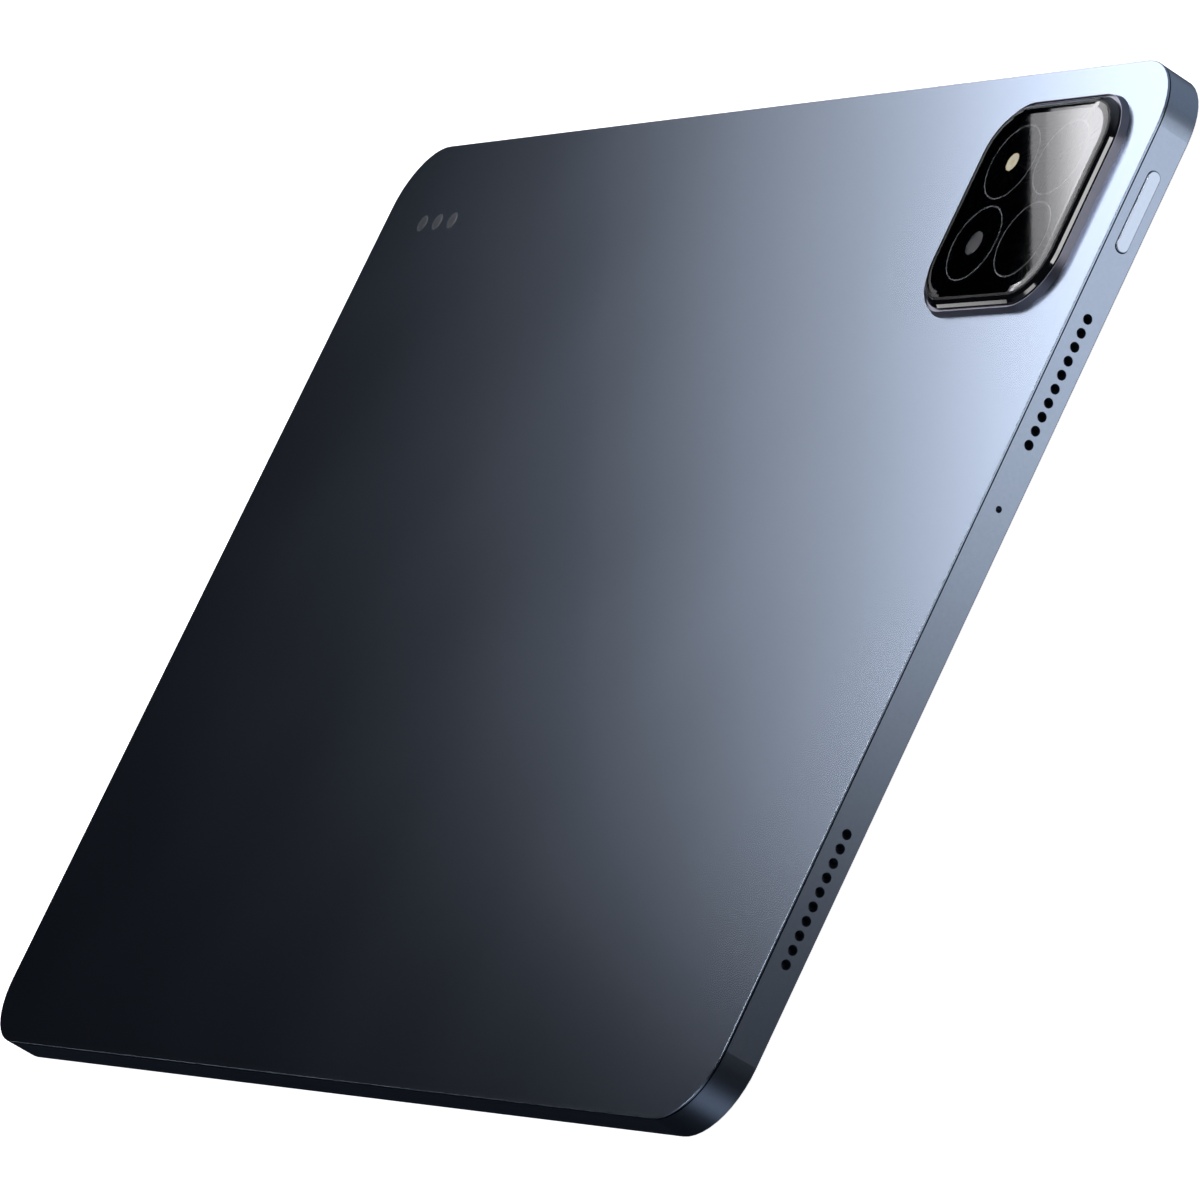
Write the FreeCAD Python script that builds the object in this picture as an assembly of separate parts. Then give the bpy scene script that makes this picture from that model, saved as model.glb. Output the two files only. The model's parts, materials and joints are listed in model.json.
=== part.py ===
"""Slim 11-inch tablet computer, back uppermost: one STEP file for each physical piece, in millimetres.

Frame: +Z points out of the back, the screen's glass lies on Z = 0, X runs along the long side and Y along the
short side. The origin is the middle of the glass. The right wall is +X, the upper wall is +Y.
A distance called "inset" is measured inwards from the body's outline.
"""

import FreeCAD, Part
import math
import os

# ---------------------------------------------------------------- body
body_length = 251.22
body_width = 173.42
body_thickness = 6.18
corner_radius = 11.5
wall = 2.4                   # side frame, outside to the inner bay
least_radius = 0.4           # of an inset outline, where the inset nears the corner radius

# ---------------------------------------------------------------- front stack, from the glass up
rim_height = 0.20            # front rim of the frame above the glass face
rim_width = 0.95
edge_round = 0.22
surround_width = 0.50
surround_lip = 0.10          # surround's front above the glass face
fit_gap = 0.05               # between pieces that are set into each other
glass_thickness = 0.66
glass_edge_round = 0.30
print_thickness = 0.04       # black print on the back of the glass
front_ledge = 0.95           # height of the ledge that carries the glass
front_ledge_width = 1.6      # how far the ledge stands in from the wall
display_tape_out = 0.15      # tape's outer side to the edge of the glass
display_tape_in = 0.10       # tape's inner side to the ledge's
screen_border_x = 7.26       # body outline to the lit area
screen_border_y = 7.81
cell_border = 0.50           # cell past the lit area
cell_thickness = 0.50
cell_corner = 3.0
lit_corner = 2.5
backlight_thickness = 0.75
backlight_gap = 0.15
tray_recess = 0.12           # pressed into the back of the backlight's tray
tray_border = 4.0
mid_plate_thickness = 0.35
mid_plate_gap = 0.10

# ---------------------------------------------------------------- rear cover
cover_thickness = 0.75
cover_rim = 0.32             # full-size part of the cover, above the shadow groove
shadow_groove = 0.21
cover_edge_round = 0.17
rebate_width = 1.05
cover_gap = 0.10             # spigot to the rebate
tape_thickness = 0.10

# ---------------------------------------------------------------- camera island on the back
island_from_right = 26.66    # island centre to the right wall
island_from_upper = 23.99
island_length = 38.4
island_width = 36.8
island_radius = 9.4
bezel_height = 1.18
bezel_draft = 0.42           # how far the bezel's side leans in
bezel_flange = 2.3
bezel_lip = 0.09             # land between the bezel's edge and the groove
trim_groove = 0.30           # depth of the groove between bezel and trim
trim_step = 0.56             # trim's wall, in from the bezel's upper edge
trim_edge = 1.24             # top of the trim's wall, above the back
trim_chamfer = 0.39
shoulder_width = 0.58
shoulder_rise = 0.41
window_seat = 0.55
window_thickness = 0.60
crown_steps = ((0.0, 0.0), (0.35, 0.11), (0.80, 0.175), (1.33, 0.21), (1.90, 0.2115))   # window: inset, rise
mask_thickness = 0.25
mask_margin = 0.25           # lens hole in the carrier, past the lens
lens_pitch = 13.9            # between the four ring centres
ring_radius = 6.3
ring_line = 0.22
ring_relief = 0.07           # groove for a ring, below the carrier's face
ring_sunk = 0.03             # ring below that face

# ---------------------------------------------------------------- rear camera, flash and sensor
camera_size = 8.8
camera_height = 1.10         # housing above the back
camera_floor = 1.0
barrel_lift = 0.15           # barrel above the housing's floor at rest
barrel_clear = 0.12          # barrel to the carrier when lifted
lens_sunk = 0.75             # lens edge below the barrel's mouth
lens_edge = 0.45
lens_fit = 0.02
lens_dome = 0.35
mouth_depth = 0.35
mouth_wall = 0.25
camera_hole = 9.6
camera_hole_corner = 1.5
camera_corner = 0.6
post_corner = 0.3            # flash's and sensor's posts
barrel_radius = 3.1
barrel_gap = 0.15
focus_travel = 0.25
lens_radius = 1.75
flash_radius = 1.5
flash_foot = 0.35            # lens foot's width and height
flash_gap = 0.20             # source below the lens
flash_chip = (1.6, 0.4)      # width, height
flash_chip_corner = 0.1
flash_post = 3.0
flash_step = 0.4
flash_groove = (0.2, 0.12)   # width, depth
sensor_post = 2.4
flash_hole = 4.6
sensor_radius = 0.75
sensor_hole = 3.4

# ---------------------------------------------------------------- front camera, behind the border of the glass
front_camera_half = 2.75
front_camera_inset = 3.65
front_camera_depth = 3.4
front_camera_back = 1.4      # above the mid plate
front_lens_radius = 1.4
front_lens_depth = 0.35
front_lens_room = 0.04       # round the lens, in the display tape
front_window_radius = 0.9
front_camera_room = (0.3, 0.2)   # clearance sideways and lengthwise

# ---------------------------------------------------------------- openings in the side walls
side_axis_drop = 0.11        # holes, keys and port lie this far below mid-thickness
hole_radius = 0.79
hole_pitch = 2.305
hole_count = 10
right_speakers_y = (-52.66, 36.91)   # from the upper wall, from the lower wall
left_speakers_y = (-44.71, 44.71)
mic_from_upper = 73.57       # on the right wall
left_mic_from_upper = 24.0
mic_past_volume = 20.0       # on the upper wall, right of the volume key
mic_radius = 0.52

# ---------------------------------------------------------------- keys
key_height = 2.15
key_gap = 0.09
key_proud = 0.30
key_round = 0.18
key_wall = 1.2               # wall left outside a key's pocket
pocket_gap = 0.30
power_from_upper = 24.5
power_length = 13.4
power_travel = 0.25
volume_from_right = 48.0
volume_length = 21.0
volume_tilt_deg = 1.3
ear_length = 1.3
ear_thickness = 0.50
nub_length = 0.25
nub_radius = 0.6
dome_spare = 0.03            # dome left when its key is fully in
dome_radius = 1.3
crown_radius = 0.91
dome_gap = 0.02
switch_depth = 1.35
switch_half_height = 0.85
switch_half_length = 1.75
bracket_thickness = 0.30
bracket_height = 2.2
bracket_foot = 2.6
bracket_past_key = 1.0
bracket_screw_inset = 1.5
fulcrum_half = 0.5           # rocker's post, half its length
fulcrum_over_axis = 0.6
volume_nub_pitch = 14.0

# ---------------------------------------------------------------- charging port
port_opening = (8.34, 2.56)
port_shell = 0.30
port_gap = 0.08
port_recess = 0.15
port_depth = 6.5
tongue = (6.69, 0.70)
tongue_back = 0.80
tongue_chamfer = 0.12
tongue_setback = 0.70
port_ear = 1.1
port_ear_in = 0.1            # ear's start past the board's edge
port_in_board = 1.15         # how far the shell reaches into the charging board

# ---------------------------------------------------------------- boards, batteries, speakers
board_thickness = 0.70
board_lift = 0.25
board_from_wall = 3.0        # main board's lower edge to the wall
board_corner = 1.5
main_board_width = 42.0
can_under_cover = 0.68
can_wall = 0.15
can_roof_gap = 0.25
can_margin = 7.0             # cans to the board's edges
can_spacing = 1.0
can_corner = 1.0
can_shares = (0.42, 0.32, 0.26)      # of the room on the board
chip_corner = 0.2
chip_sizes = ((12.0, 11.0), (9.0, 6.0), (7.0, 5.0))
screen_plug_half = 8.0
link_plug_half = 3.0
bay_gap = 1.0                # between neighbours in the bay
battery_tape = 0.10
battery_swell = 0.32
battery_round = 1.15
cell_gap = 1.6               # between the two batteries
strip_end = 12.0             # protection strip, from the battery's corners
strip_width = 3.5
strip_height = 1.4
pull_tape_width = 12.0
pull_tape_shares = (0.25, 0.75)      # of the battery's width
pull_tape_corner = 1.0
pull_tape_past = 1.5         # pull tab past the battery's lower end
pull_tape_short = 7.5        # tape stops this far below the battery's upper end
upper_strip = 17.6           # kept free of batteries inside the upper wall
lower_strip = 4.1
charge_board_depth = 15.0
charge_corner = 1.2
plug_offset = 3.6            # display flex slot to the row of plugs
plug_width = 2.4
plug_height = 0.32
flex_thickness = 0.10
flex_lift = 0.04             # link flex above the batteries
flex_room = 0.5              # round the screen's flex in its slot
flex_slot_gap = 0.9          # slot to the main board's edge
link_in = 9.0                # middle of the link flex, in from the charging board's upper end
link_width = 10.0
screen_flex_width = 22.0
screen_flex_reach = 22.0     # over the back of the backlight
flex_spacing = 1.0           # between the screen's flex and the link flex
link_foot_back = 2.2         # link flex's drop to the charging board, before the left battery
speaker_length = 30.0
speaker_depth = 16.4
speaker_wall = 0.5
speaker_set = 0.15           # enclosure to wall, where the mesh is
mesh_past_holes = 0.6
mesh_foot = 0.02             # mesh above the mid plate
mesh_over_axis = 1.1
speaker_under_cover = 0.15
speaker_corner = 1.0
duct_slot = 0.35             # slot that joins chamber and duct
cone_travel = 0.30
driver = (10.0, 18.4)
duct_depth = 4.6
surround_band = 0.75
coil = (5.4, 12.0)
coil_wall = 0.35
coil_gap = 0.35
coil_drop = 0.72
coil_corner = 0.9
magnet_height = 0.95
yoke_gap = 0.20              # yoke to the chamber's side
yoke_floor = 0.20
yoke_corner = 0.8
pole_corner = 0.6
cone_plate = 0.12
cone_corner = 0.8
surround_corner = 0.05
screw_head = 0.80            # radius
screw_head_height = 0.30
screw_shank = 0.50           # radius
screw_round = 0.10
screw_cross = (0.48, 0.12, 0.14)     # reach, half width, depth of the driver's cross
screw_bite = 0.80
screw_wall_gap = 0.82        # screw axis to the wall
screw_from_side = 25.0
screw_from_middle = 44.0
side_screw_below_mic = 12.0
side_screw_share = 0.325     # of the way from the port's notch to the upper left speaker
board_screw_inset = 2.2
hole_clear = 0.10
boss_radius = 1.5

# ---------------------------------------------------------------- small electrics: length, width, height
microphone = (2.6, 3.6, 1.1)     # along the wall, away from it, height
magnet_bar = (12.0, 2.2, 2.2)
magnet_inset = 2.6
magnet_corner = 0.3
stylus_magnets_x = (14.0, 30.0)
cover_magnet_shift = 3.0     # cover magnets beside the middles of the cell gap and the right battery
antenna = (14.0, 5.0, 1.6)
antenna_inset = (10.0, 6.0)
antenna_corner = 1.5
graphite_thickness = 0.07
graphite_start = 1.2         # battery widths from the left battery's edge
graphite_short = 6.0         # shorter than the main board
graphite_corner = 3.0

# ---------------------------------------------------------------- keyboard contacts on the back
contact_from_left = 15.71
contact_from_upper = 15.61
contact_pitch = 5.66
contact_radius = 1.30
contact_collar = 0.25
contact_round = 0.12
collar_gap = 0.02            # collar to its hole in the cover
contact_bar = (2.7, 6.4, 2.0)        # past the pads, width, corner
contact_sink = 0.04
contact_depth = 1.1

# ---------------------------------------------------------------- heights and places worked out from the above
half_l = body_length / 2
half_w = body_width / 2
dome_height = power_travel + dome_spare
volume_ear_gap = (volume_length / 2 + ear_length) * math.tan(math.radians(volume_tilt_deg)) + fit_gap
cone_gap = cone_travel + fit_gap     # diaphragm above the magnet at rest
side_axis_z = body_thickness / 2 - side_axis_drop
z_print = glass_thickness
z_cell = glass_thickness + print_thickness
z_light = z_cell + cell_thickness
z_light_back = z_light + backlight_thickness
z_mid = z_light_back + backlight_gap
z_bay = z_mid + mid_plate_thickness
z_back = body_thickness
z_cover = z_back - cover_thickness
z_ledge = z_cover - tape_thickness
z_rim_top = z_back - cover_rim - shadow_groove
glass_inset = rim_width + 2 * fit_gap + surround_width
board_z = z_bay + board_lift
board_top = board_z + board_thickness
can_top = z_cover - can_under_cover
island = (half_l - island_from_right, half_w - island_from_upper)
camera_at = (island[0] - lens_pitch / 2, island[1] - lens_pitch / 2)
flash_at = (island[0] - lens_pitch / 2, island[1] + lens_pitch / 2)
sensor_at = (island[0] + lens_pitch / 2, island[1] + lens_pitch / 2)
z_window_edge = z_back + trim_edge + trim_chamfer + shoulder_rise
z_window = z_window_edge + crown_steps[-1][1]
z_mask = z_window - window_thickness - mask_thickness
power_y = half_w - power_from_upper
volume_x = half_l - volume_from_right
speaker_back = wall + speaker_set + speaker_depth    # inset of the speakers' inner sides
board_right = half_l - speaker_back - bay_gap
board_left = board_right - main_board_width
charge_left = port_recess + port_depth - port_in_board
charge_board_length = 2 * (half_w + left_speakers_y[0] - speaker_length / 2 - bay_gap)
link_y = charge_board_length / 2 - link_in
screen_flex_y = link_y - link_width / 2 - flex_spacing - screen_flex_width / 2
battery_left_edge = -half_l + max(charge_left + charge_board_depth, speaker_back) + bay_gap
battery_right_edge = board_left - flex_slot_gap - flex_room - fit_gap
battery_width = (battery_right_edge - battery_left_edge - cell_gap) / 2
battery_low = -half_w + wall + lower_strip
battery_high = half_w - wall - upper_strip
battery_z = z_bay + battery_tape
battery_top = z_cover - battery_swell
speaker_top = z_cover - speaker_under_cover
contact_y = half_w - contact_from_upper
SPEAKERS = {
    "right_upper": (1, half_w + right_speakers_y[0]),
    "right_lower": (1, -half_w + right_speakers_y[1]),
    "left_upper": (-1, half_w + left_speakers_y[0]),
    "left_lower": (-1, -half_w + left_speakers_y[1]),
}


# ---------------------------------------------------------------- building blocks
def vec(x, y, z):
    return FreeCAD.Vector(x, y, z)


def block(x0, x1, y0, y1, z0, z1):
    """A box between two corners, given low and high along each axis."""
    return Part.makeBox(x1 - x0, y1 - y0, z1 - z0, vec(x0, y0, z0))


def outline(length, width, radius, z, cx=0.0, cy=0.0):
    """A closed rounded rectangle, flat at height z."""
    radius = max(min(radius, length / 2 - 0.01, width / 2 - 0.01), 0.01)
    a, b = length / 2 - radius, width / 2 - radius
    edges, last = [], None
    for k, (sx, sy) in enumerate(((1, 1), (-1, 1), (-1, -1), (1, -1))):
        turn = math.pi / 2 * k
        points = [
            vec(cx + sx * a + radius * math.cos(turn + s), cy + sy * b + radius * math.sin(turn + s), z)
            for s in (0, math.pi / 4, math.pi / 2)
        ]
        if last is not None:
            edges.append(Part.LineSegment(last, points[0]).toShape())
        else:
            first = points[0]
        edges.append(Part.Arc(*points).toShape())
        last = points[2]
    edges.append(Part.LineSegment(last, first).toShape())
    return Part.Wire(edges)


def slab(length, width, radius, z0, z1, cx=0.0, cy=0.0):
    """A rounded rectangular plate from z0 to z1."""
    return Part.Face(outline(length, width, radius, z0, cx, cy)).extrude(vec(0, 0, z1 - z0))


def body_slab(inset, z0, z1):
    """The body's own outline, inset, from z0 to z1."""
    radius = max(corner_radius - inset, least_radius)
    return slab(body_length - 2 * inset, body_width - 2 * inset, radius, z0, z1)


def body_ring(outer, inner, z0, z1):
    """The band between two insets."""
    return body_slab(outer, z0, z1).cut(body_slab(inner, z0, z1))


def rod(x, y, z0, z1, radius):
    """A cylinder along Z."""
    return Part.makeCylinder(radius, z1 - z0, vec(x, y, z0))


def pill(wall_axis, along, start, end, length, height, z=side_axis_z):
    """A stadium-shaped bar that runs through a wall, from start to end along X or Y."""
    radius = height / 2
    flat = slab(length, height, radius, 0, end - start)
    if wall_axis == "x":
        flat.rotate(vec(0, 0, 0), vec(0, 0, 1), 90)
        flat.rotate(vec(0, 0, 0), vec(0, 1, 0), 90)
        flat.translate(vec(start, along, z))
    else:
        flat.rotate(vec(0, 0, 0), vec(1, 0, 0), -90)
        flat.translate(vec(along, start, z))
    return flat


def across(wall_axis, along, start, end, half_length, z0, z1):
    """A box behind a wall: start and end along the wall's axis, half_length each way along the wall."""
    if wall_axis == "x":
        return block(start, end, along - half_length, along + half_length, z0, z1)
    return block(along - half_length, along + half_length, start, end, z0, z1)


def disc(wall_axis, along, start, end, radius, z=side_axis_z):
    """A cylinder whose axis runs through a wall."""
    if wall_axis == "x":
        return Part.makeCylinder(radius, end - start, vec(start, along, z), vec(1, 0, 0))
    return Part.makeCylinder(radius, end - start, vec(along, start, z), vec(0, 1, 0))


def group(solids):
    """Separate solids that share one node."""
    return Part.makeCompound(solids)


def edges_at(shape, z):
    """Edges that lie flat at height z."""
    return [e for e in shape.Edges if abs(e.BoundBox.ZMin - z) < 1e-4 and abs(e.BoundBox.ZMax - z) < 1e-4]


def speaker_holes(side, y):
    """The y positions of one speaker's holes."""
    first = y - hole_pitch * (hole_count - 1) / 2
    return [first + hole_pitch * k for k in range(hole_count)]


def port_notch_half():
    """Half width of the mid plate's notch for the charging socket."""
    return port_opening[0] / 2 + port_shell + pocket_gap


def mid_screw_points():
    """Places of the screws that hold the mid plate to the frame's front ledge."""
    inset = wall + screw_wall_gap
    y = half_w - inset
    along = (-half_l + screw_from_side, -screw_from_middle, screw_from_middle, half_l - screw_from_side)
    upper = [(x, y) for x in along[:3]]
    lower = [(x, -y) for x in along]
    port_side, box_end = port_notch_half(), SPEAKERS["left_upper"][1] - speaker_length / 2
    left_y = port_side + side_screw_share * (box_end - port_side)
    sides = [(half_l - inset, half_w - mic_from_upper - side_screw_below_mic), (-half_l + inset, left_y)]
    return upper + lower + sides


def bracket_screw_points():
    """Places of the screws through the feet of the two key brackets."""
    power_x = half_l - power_notch() - bracket_thickness - bracket_foot / 2
    volume_y = half_w - volume_notch() - bracket_thickness - bracket_foot / 2
    power_reach = power_length / 2 + bracket_past_key - bracket_screw_inset
    volume_reach = volume_length / 2 + bracket_past_key - bracket_screw_inset
    points = [(power_x, power_y + s * power_reach) for s in (-1, 1)]
    return points + [(volume_x + s * volume_reach, volume_y) for s in (-1, 1)]


def board_screw_points():
    """Places of the screws that hold the main board, near its corners."""
    low, high = main_board_y()
    inset = board_screw_inset
    return [(x, y) for x in (board_left + inset, board_right - inset) for y in (low + inset, high - inset)]


def charge_screw_points():
    x = -half_l + charge_left + charge_board_depth - board_screw_inset
    reach = charge_board_length / 2 - board_screw_inset
    return [(x, y) for y in (-reach, reach)]


def main_board_y():
    """Low and high edge of the main board, which ends below the camera island."""
    return -half_w + wall + board_from_wall, island[1] - island_width / 2 - bay_gap


def screw(x, y, z_seat, bite):
    """A pan-head screw whose head sits on z_seat and points down by bite."""
    top = z_seat + screw_head_height
    head = rod(x, y, z_seat, top, screw_head)
    head = head.makeFillet(screw_round, edges_at(head, top))
    reach, half, deep = screw_cross
    for sx, sy in ((reach, half), (half, reach)):
        head = head.cut(block(x - sx, x + sx, y - sy, y + sy, top - deep, top + 1))
    return head.fuse(rod(x, y, z_seat - bite, z_seat, screw_shank)).removeSplitter()


# ---------------------------------------------------------------- housing
def side_frame():
    """Milled ring: front rim and ledge, bay wall, rear ledge and rebate, and every side opening."""
    frame = body_slab(0, rim_height, z_rim_top)
    frame = frame.makeFillet(edge_round, edges_at(frame, rim_height))
    frame = frame.cut(body_slab(rim_width, rim_height - 1, front_ledge))
    frame = frame.cut(body_slab(wall + front_ledge_width, front_ledge - 0.1, z_mid + 0.1))
    frame = frame.cut(body_slab(wall, z_mid, z_ledge))
    frame = frame.cut(body_slab(rebate_width, z_ledge, z_rim_top + 1))
    cutters = []
    for side, y in SPEAKERS.values():
        x0 = half_l - wall - 0.5 if side > 0 else -half_l - 0.5
        cutters += [disc("x", hole_y, x0, x0 + wall + 1, hole_radius) for hole_y in speaker_holes(side, y)]
    cutters.append(disc("x", half_w - mic_from_upper, half_l - wall - 0.5, half_l + 0.5, mic_radius))
    cutters.append(disc("x", half_w - left_mic_from_upper, -half_l - 0.5, -half_l + wall + 0.5, mic_radius))
    cutters.append(disc("y", volume_x + mic_past_volume, half_w - wall - 0.5, half_w + 0.5, mic_radius))
    key_hole = key_height + 2 * key_gap
    cutters.append(pill("x", power_y, half_l - wall, half_l + 1, power_length + 2 * key_gap, key_hole))
    cutters.append(pill("y", volume_x, half_w - wall, half_w + 1, volume_length + 2 * key_gap, key_hole))
    low, high = side_axis_z - key_hole / 2 - pocket_gap, side_axis_z + key_hole / 2 + pocket_gap
    power_half = power_length / 2 + ear_length + pocket_gap
    volume_half = volume_length / 2 + ear_length + pocket_gap
    ledge_end = wall + front_ledge_width + 0.1
    cutters.append(across("x", power_y, half_l - ledge_end, half_l - key_wall, power_half, low, high))
    cutters.append(across("y", volume_x, half_w - ledge_end, half_w - key_wall, volume_half, low, high))
    port = [size + 2 * port_shell + 2 * port_gap for size in port_opening]
    cutters.append(pill("x", 0, -half_l - 1, -half_l + ledge_end, port[0], port[1]))
    x_half, y_room = front_camera_half + front_camera_room[0], front_camera_room[1]
    cutters.append(block(-x_half, x_half, half_w - ledge_end, half_w - front_camera_inset + y_room,
                         front_ledge, z_mid + 0.1))
    for x, y in mid_screw_points():
        cutters.append(rod(x, y, z_mid - screw_bite, z_mid + 0.1, screw_shank))
    return frame.cut(cutters)


def rear_cover():
    """Back plate: full-size rim above the shadow groove, and a spigot that drops into the frame's rebate."""
    spigot = body_slab(rebate_width + cover_gap, z_cover, z_back - cover_rim)
    plate = body_slab(0, z_back - cover_rim, z_back)
    plate = plate.makeFillet(cover_edge_round, edges_at(plate, z_back))
    cover = plate.fuse(spigot).removeSplitter()
    cutters = [slab(camera_hole, camera_hole, camera_hole_corner, z_cover - 1, z_back + 1, *camera_at)]
    cutters.append(rod(*flash_at, z_cover - 1, z_back + 1, flash_hole / 2))
    cutters.append(rod(*sensor_at, z_cover - 1, z_back + 1, sensor_hole / 2))
    cutters += [rod(x, contact_y, z_cover - 1, z_back + 1, contact_radius + contact_collar)
                for x in contact_xs()]
    return cover.cut(cutters)


def cover_tape():
    """Adhesive band that bonds the rear cover to the frame's rear ledge."""
    return body_ring(rebate_width + cover_gap, wall, z_ledge, z_cover)


def mid_plate():
    """Stamped plate behind the screen, with bosses for the boards and notches for port, keys and camera."""
    plate = body_slab(wall + mid_plate_gap, z_mid, z_bay)
    back_of_port = port_recess + port_depth + pocket_gap
    cutters = [across("x", 0, -half_l, -half_l + back_of_port, port_notch_half(), z_mid - 1, z_bay + 1)]
    power_half = power_length / 2 + ear_length + pocket_gap
    volume_half = volume_length / 2 + ear_length + pocket_gap
    cutters.append(across("x", power_y, half_l - power_notch(), half_l, power_half, z_mid - 1, z_bay + 1))
    cutters.append(across("y", volume_x, half_w - volume_notch(), half_w, volume_half, z_mid - 1, z_bay + 1))
    x_half, y_room = front_camera_half + front_camera_room[0], front_camera_room[1]
    cutters.append(block(-x_half, x_half, half_w - front_camera_inset - front_camera_depth - y_room,
                         half_w - front_camera_inset + y_room, z_mid - 1, z_bay + 1))
    slot_half = screen_flex_width / 2 + flex_room
    cutters.append(block(flex_slot_x() - flex_room, flex_slot_x() + flex_thickness + flex_room,
                         screen_flex_y - slot_half, screen_flex_y + slot_half, z_mid - 1, z_bay + 1))
    cutters += [rod(x, y, z_mid - 1, z_bay + 1, screw_shank + hole_clear) for x, y in mid_screw_points()]
    cutters += [rod(x, y, z_mid - 1, z_bay + 1, screw_shank) for x, y in bracket_screw_points()]
    plate = plate.cut(cutters)
    for x, y in board_screw_points():
        plate = plate.fuse(rod(x, y, z_bay, board_z, boss_radius))
    for x, y in charge_screw_points():
        plate = plate.fuse(rod(x, y, z_bay, charge_board_z(), boss_radius))
    boss_holes = board_screw_points() + charge_screw_points()
    return plate.cut([rod(x, y, z_bay, board_top, screw_shank) for x, y in boss_holes])


def screws():
    """Every screw: mid plate to frame, then boards and brackets to the mid plate."""
    seats = [(point, z_bay, screw_bite) for point in mid_screw_points()]
    seats += [(point, board_top, board_top - z_bay) for point in board_screw_points()]
    charge_top = charge_board_z() + board_thickness
    seats += [(point, charge_top, charge_top - z_bay) for point in charge_screw_points()]
    foot_top = z_bay + bracket_thickness
    seats += [(point, foot_top, foot_top - z_mid) for point in bracket_screw_points()]
    return group([screw(*point, seat, bite) for point, seat, bite in seats])


# ---------------------------------------------------------------- screen
def flex_slot_x():
    """Where the screen's flex cable comes up through the mid plate, left of the main board."""
    return board_left - flex_slot_gap


def front_camera_at():
    return 0.0, half_w - front_camera_inset - front_camera_depth / 2


def cover_glass():
    glass = body_slab(glass_inset, 0, glass_thickness)
    return glass.makeFillet(glass_edge_round, edges_at(glass, 0))


def bezel_print():
    """Black border printed on the back of the glass, with a window for the front camera."""
    lit = slab(body_length - 2 * screen_border_x, body_width - 2 * screen_border_y, lit_corner, z_print, z_cell)
    x, y = front_camera_at()
    return body_slab(glass_inset, z_print, z_cell).cut(lit).cut(rod(x, y, z_print, z_cell, front_window_radius))


def glass_surround():
    """Thin plastic ring between the glass and the metal rim."""
    return body_ring(rim_width + fit_gap, rim_width + fit_gap + surround_width, surround_lip, front_ledge)


def display_tape():
    """Adhesive band between the border of the glass and the frame's front ledge."""
    inner = wall + front_ledge_width - display_tape_in
    band = body_ring(glass_inset + display_tape_out, inner, z_cell, front_ledge)
    return band.cut(rod(*front_camera_at(), z_cell - 1, front_ledge + 1, front_lens_radius + front_lens_room))


def panel(z0, z1, shrink=0.0):
    """A plate the size of the screen's cell."""
    length = body_length - 2 * (screen_border_x - cell_border) - 2 * shrink
    width = body_width - 2 * (screen_border_y - cell_border) - 2 * shrink
    return slab(length, width, cell_corner, z0, z1)


def lcd_cell():
    return panel(z_cell, z_light)


def backlight_unit():
    """Steel tray with a light guide pocket's step pressed into its back."""
    tray = panel(z_light, z_light_back)
    return tray.cut(panel(z_light_back - tray_recess, z_light_back, tray_border))


def display_flex():
    """Flex cable from the screen's back, up through the slot and onto the main board."""
    x, thin, half = flex_slot_x(), flex_thickness, screen_flex_width / 2
    low, high = z_light_back - tray_recess, plug_top()
    y0, y1 = screen_flex_y - half, screen_flex_y + half
    lower = block(x - screen_flex_reach, x + thin, y0, y1, low, low + thin)
    riser = block(x, x + thin, y0, y1, low, high + thin)
    upper = block(x, x + plug_offset + plug_width, y0, y1, high, high + thin)
    return lower.fuse([riser, upper]).removeSplitter()


def plug_top():
    """Top of the plugs on the main board, where the flex cables lie."""
    return board_top + plug_height


# ---------------------------------------------------------------- keys and their switches
def power_notch():
    """Inset of the power key's bracket: wall, ears, nub, dome and switch in a row."""
    return power_dome_inset() + dome_height + switch_depth


def volume_notch():
    return volume_dome_inset() + dome_height + switch_depth


def key_cap(axis, along, length, ear_inset, nubs):
    """A key: capsule through the wall, ears behind it, and a nub for each dome."""
    back = ear_inset + ear_thickness
    half = half_l if axis == "x" else half_w
    top = half + key_proud
    cap = pill(axis, along, half - back, top, length, key_height)
    low = [e.BoundBox.XMin if axis == "x" else e.BoundBox.YMin for e in cap.Edges]
    cap = cap.makeFillet(key_round, [e for e, start in zip(cap.Edges, low) if abs(start - top) < 1e-4])
    ears = across(axis, along, half - back, half - ear_inset, length / 2 + ear_length,
                  side_axis_z - key_height / 2, side_axis_z + key_height / 2)
    key = cap.fuse(ears)
    for offset in nubs:
        key = key.fuse(disc(axis, along + offset, half - back - nub_length, half - back, nub_radius))
    return key.removeSplitter()


def power_button():
    return key_cap("x", power_y, power_length, key_wall + fit_gap, (0.0,))


def volume_rocker():
    offset = volume_nub_pitch / 2
    return key_cap("y", volume_x, volume_length, key_wall + volume_ear_gap, (-offset, offset))


def dome(axis, along, outer):
    """A snap dome lying against a switch, its crown outwards."""
    half = half_l if axis == "x" else half_w
    base = half - outer - dome_height
    disc_part = disc(axis, along, base, base + dome_height / 2, dome_radius)
    return disc_part.fuse(disc(axis, along, base, base + dome_height, crown_radius)).removeSplitter()


def power_dome():
    return dome("x", power_y, power_dome_inset())


def power_dome_inset():
    return key_wall + fit_gap + ear_thickness + nub_length + dome_gap


def volume_dome_inset():
    return key_wall + volume_ear_gap + ear_thickness + nub_length + dome_gap


def volume_domes():
    offset = volume_nub_pitch / 2
    return group([dome("y", volume_x + s * offset, volume_dome_inset()) for s in (-1, 1)])


def switch_body(axis, along, outer):
    """Switch housing behind a dome, back to its bracket."""
    half = half_l if axis == "x" else half_w
    start = half - outer - dome_height - switch_depth
    return across(axis, along, start, start + switch_depth, switch_half_length,
                  side_axis_z - switch_half_height, side_axis_z + switch_half_height)


def power_switch():
    return switch_body("x", power_y, power_dome_inset())


def volume_switches():
    offset = volume_nub_pitch / 2
    return group([switch_body("y", volume_x + s * offset, volume_dome_inset()) for s in (-1, 1)])


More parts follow.
